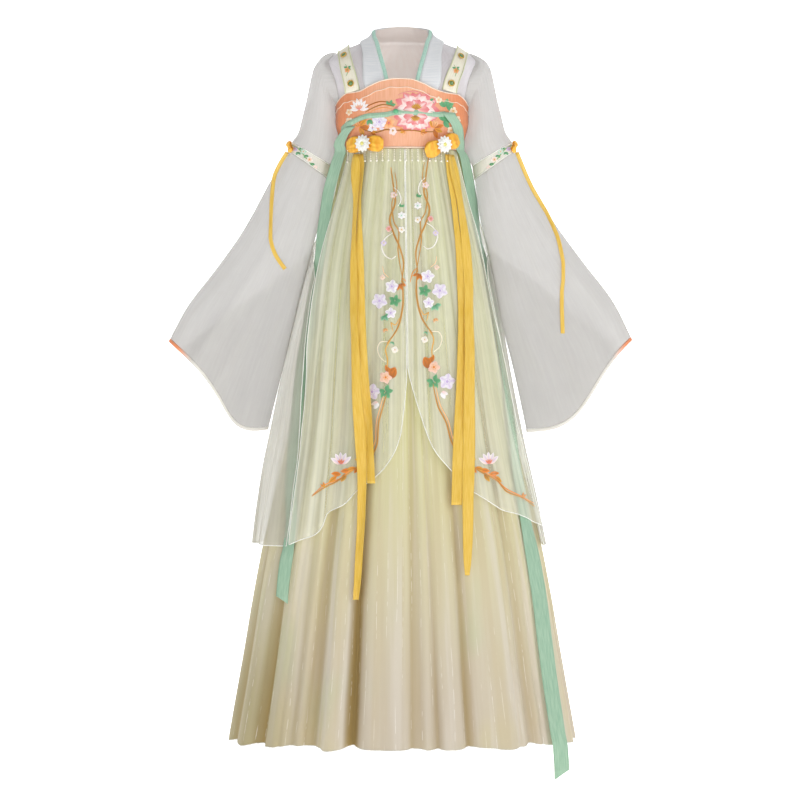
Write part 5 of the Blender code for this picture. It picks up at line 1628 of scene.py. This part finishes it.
for side_name, sign in (("left", -1), ("right", 1)):
    jacket_front("jacket_front_" + side_name, sign)
jacket_back()
collar()
for side_name, sign in (("left", -1), ("right", 1)):
    collar_trim("collar_trim_" + side_name, sign)
neck_lining()
for side_name, sign, top, low, belly, spots in (
    ("left", -1, TOP_LEFT, LOW_LEFT, BELLY_LEFT, SLEEVE_RIBBON_LEFT),
    ("right", 1, TOP_RIGHT, LOW_RIGHT, BELLY_RIGHT, SLEEVE_RIBBON_RIGHT),
):
    upper_sleeve("sleeve_upper_" + side_name, sign)
    elbow_band("elbow_band_" + side_name, sign)
    lower_sleeve(side_name, sign, top, low, belly)
    sleeve_ribbon("sleeve_ribbon_" + side_name, spots, top, low, belly)
    loops("sleeve_bow_" + side_name, (sign * 223.8, -25.4, -195), (sign * 0.8, -0.6, 0), 12, 7, 1.6, 3.5,
          -sign * 1.1)
    band_work(bpy.data.objects[f"elbow_band_{side_name}_lace"], sign)

front = bodice_front()
bodice_back()
for side_name, points in (("left", STRAP_LEFT), ("right", STRAP_RIGHT)):
    line, out = strap("strap_" + side_name, points)
    for number, station in ((1, 1), (2, 5)):
        k = round(station / (STRAP_STATIONS - 1) * (len(line) - 1))
        button(f"button_{side_name}_{number}", line[k] + out[k] * 2.7, out[k])
    x, _, z = line[len(line) // 6]
    strap_work(bpy.data.objects[f"strap_{side_name}_silk"], x, z, f"strap_{side_name}_sprig")
belt()
bodice_work(front)

main_skirt()
left = over_panel("overskirt_left", over_sheer, SLIT_LEFT, MIDDLE_LEFT, PANEL_LEFT, 0.0, 80)
right = over_panel("overskirt_right", over_sheer, MIDDLE_RIGHT, SLIT_RIGHT, PANEL_RIGHT, 10, 84)
over_panel("overskirt_back", over_back_shaded, SLIT_RIGHT_BACK, [(z, a + 360) for z, a in SLIT_LEFT_BACK],
           [(0, BACK_HEM), (400, BACK_HEM)], 0.0, 88)
hung_strip("tie_left", TIE_LEFT, 120, TIE_LEFT_WIDTH)
hung_strip("tie_right", TIE_RIGHT, 140, TIE_RIGHT_WIDTH)
for side_name, x, z, tilt, reach in (("left", -69, -194, 0.0, 8.7), ("right", 73, -196, -0.35, 11.0)):
    angle = np.float64(angle_at(np.float64(x), curve(BODICE_WIDTH, z)))
    spot, away = bodice(angle, float(z)), bodice(angle, float(z), 1.0)
    facing = (away - spot) * [1, 1, 0]
    loops("bow_" + side_name, spot + facing * reach, facing, 42, 16, 2.2, 8.5, tilt)
    silk_flower("flower_" + side_name, spot + facing * (reach + 8.6), facing)
for name, spots, off, seed in (
    ("ribbon_left_long", RIBBON_LEFT_LONG, 7.2, 3),
    ("ribbon_left_short", RIBBON_LEFT_SHORT, 3, 5),
    ("ribbon_right_long", RIBBON_RIGHT_LONG, 4.8, 7),
    ("ribbon_right_short", RIBBON_RIGHT_SHORT, 2.3, 9),
):
    front_ribbon(name, spots, off, seed)
border(right, 1, 0, 0, BORDER_RIGHT, "overskirt_right_embroidery")
border(left, -1, 30, 20, BORDER_LEFT, "overskirt_left_embroidery")
bead_rows(tree_of(left, right))

# ---------------------------------------------------------------- the cut of each cloth piece

# Width and length in metres before sewing, how much of that rectangle the piece fills, and how it is held.
BOTH = {
    "jacket_front_{}_cloth": (0.15, 0.45, 0.84, "hung"),
    "collar_trim_{}_silk": (0.01, 0.225, 0.76, "stretched"),
    "sleeve_upper_{}_cloth": (0.29, 0.19, 0.80, "gathered"),
    "elbow_band_{}_lace": (0.022, 0.285, 0.92, "stretched"),
    "sleeve_lower_{}_cloth": (0.62, 0.50, 0.68, "hung"),
    "cuff_binding_{}_silk": (0.01, 0.62, 0.62, "hung"),
    "sleeve_bow_{}_silk": (0.012, 0.056, 0.95, "folded"),
    "sleeve_bow_{}_silk_knot": (0.01, 0.028, 0.75, "folded"),
    "strap_{}_silk": (0.028, 0.295, 0.93, "stretched"),
    "bow_{}_silk": (0.027, 0.185, 0.98, "folded"),
    "bow_{}_silk_knot": (0.018, 0.029, 0.96, "folded"),
    "flower_{}_petals": (0.06, 0.04, 0.92, "gathered"),
}
CUT = {name.format(side): row for name, row in BOTH.items() for side in ("left", "right")}
CUT.update({
    "jacket_back_cloth": (0.34, 0.46, 0.88, "hung"),
    "collar_cloth": (0.036, 0.60, 0.95, "stretched"),
    "neck_lining_cloth": (0.27, 0.20, 0.85, "hung"),
    "sleeve_ribbon_left_silk": (0.01, 0.255, 0.80, "hung"),
    "sleeve_ribbon_right_silk": (0.01, 0.388, 0.80, "hung"),
    "bodice_front_silk": (0.38, 0.13, 0.87, "stretched"),
    "bodice_back_silk": (0.36, 0.098, 0.95, "stretched"),
    "belt_silk": (0.012, 0.242, 0.93, "stretched"),
    "skirt_cloth": (2.10, 1.20, 0.68, "gathered"),
    "overskirt_left_cloth": (0.32, 0.80, 0.60, "gathered"),
    "overskirt_right_cloth": (0.32, 0.77, 0.62, "gathered"),
    "overskirt_back_cloth": (0.96, 0.82, 0.78, "gathered"),
    "tie_left_silk": (0.025, 0.975, 0.98, "hung"),
    "tie_right_silk": (0.030, 1.36, 0.98, "hung"),
    "ribbon_left_long_silk": (0.018, 0.89, 0.97, "hung"),
    "ribbon_left_short_silk": (0.018, 0.665, 0.95, "hung"),
    "ribbon_right_long_silk": (0.023, 0.845, 0.97, "hung"),
    "ribbon_right_short_silk": (0.019, 0.705, 0.97, "hung"),
})

# ---------------------------------------------------------------- setting

FLOOR = 1.4428  # just under the lowest point, the tip of the right tie
# Half width of the paper, where it starts to turn up, the radius of its bend, and its top.
PAPER_HALF, SWEEP_AT, SWEEP, PAPER_TOP = 34, 8.5, 1.5, 24


def backdrop():
    """Pale paper: a wide floor that turns up into a wall."""
    finish = Finish("studio_paper", srgb(252, 252, 252), 0.95)
    finish.set("Emission Color", (1, 1, 1, 1))
    finish.set("Emission Strength", 0.84)
    finish.bump(finish.noise(40), 0.0002, 0.2)
    bend = np.radians(np.arange(0, 91, 10))
    profile = [(-PAPER_HALF, 0.0)]
    profile += [(SWEEP_AT + SWEEP * math.sin(a), SWEEP * (1 - math.cos(a))) for a in bend]
    profile += [(SWEEP_AT + SWEEP, PAPER_TOP)]
    points = [(x, y, z - FLOOR) for y, z in profile for x in (-PAPER_HALF, PAPER_HALF)]
    faces = [(2 * k, 2 * k + 1, 2 * k + 3, 2 * k + 2) for k in range(len(profile) - 1)]
    mesh = bpy.data.meshes.new("studio_paper")
    mesh.from_pydata(points, [], faces)
    mesh.shade_smooth()
    mesh.materials.append(finish.material)
    placed("studio_paper", mesh)


def light(name, place, aim, size, power):
    lamp = bpy.data.lights.new(name, "AREA")
    lamp.shape, lamp.size, lamp.energy = "DISK", size, power
    obj = placed(name, lamp)
    obj.location = place
    obj.rotation_euler = (Vector(aim) - Vector(place)).to_track_quat("-Z", "Y").to_euler()


def pale_world():
    """Soft light from all round. Past the edge of the paper, the camera sees the same pale ground."""
    world = bpy.data.worlds.new("studio")
    world.use_nodes = True
    nodes, join_up = world.node_tree.nodes, world.node_tree.links.new
    glow, pale = nodes["Background"], nodes.new("ShaderNodeBackground")
    for background, strength in ((glow, 0.20), (pale, 1.0)):
        background.inputs["Color"].default_value = (1, 1, 1, 1)
        background.inputs["Strength"].default_value = strength
    choose, seen_by = nodes.new("ShaderNodeMixShader"), nodes.new("ShaderNodeLightPath")
    join_up(seen_by.outputs["Is Camera Ray"], choose.inputs[0])
    join_up(glow.outputs[0], choose.inputs[1])
    join_up(pale.outputs[0], choose.inputs[2])
    join_up(choose.outputs[0], nodes["World Output"].inputs["Surface"])
    bpy.context.scene.world = world


def set_camera():
    """A long lens, level with the waist."""
    camera = bpy.data.cameras.new("camera")
    camera.lens, camera.sensor_width = 157.5, 36
    eye = placed("camera", camera)
    eye.location = (-0.004, -7.0, -0.70)
    eye.rotation_euler = (math.radians(90), 0, 0)
    bpy.context.scene.camera = eye


backdrop()
for name, place, aim, size, power in (
    ("key", (3.6, -3.9, 1.9), (0, 0, -0.7), 1.5, 64),
    ("fill", (-3.2, -4.0, 0.6), (0, 0, -0.7), 3.0, 10),
    ("front", (0.5, -6.4, 0.5), (0, 0, -0.5), 0.8, 48),
    ("top", (0, -0.5, 3.2), (0, 0, -0.5), 3.0, 22),
):
    light(name, place, aim, size, power)
pale_world()
set_camera()
bpy.context.scene.view_settings.view_transform = "Standard"
bpy.context.scene.cycles.transparent_max_bounces = 32
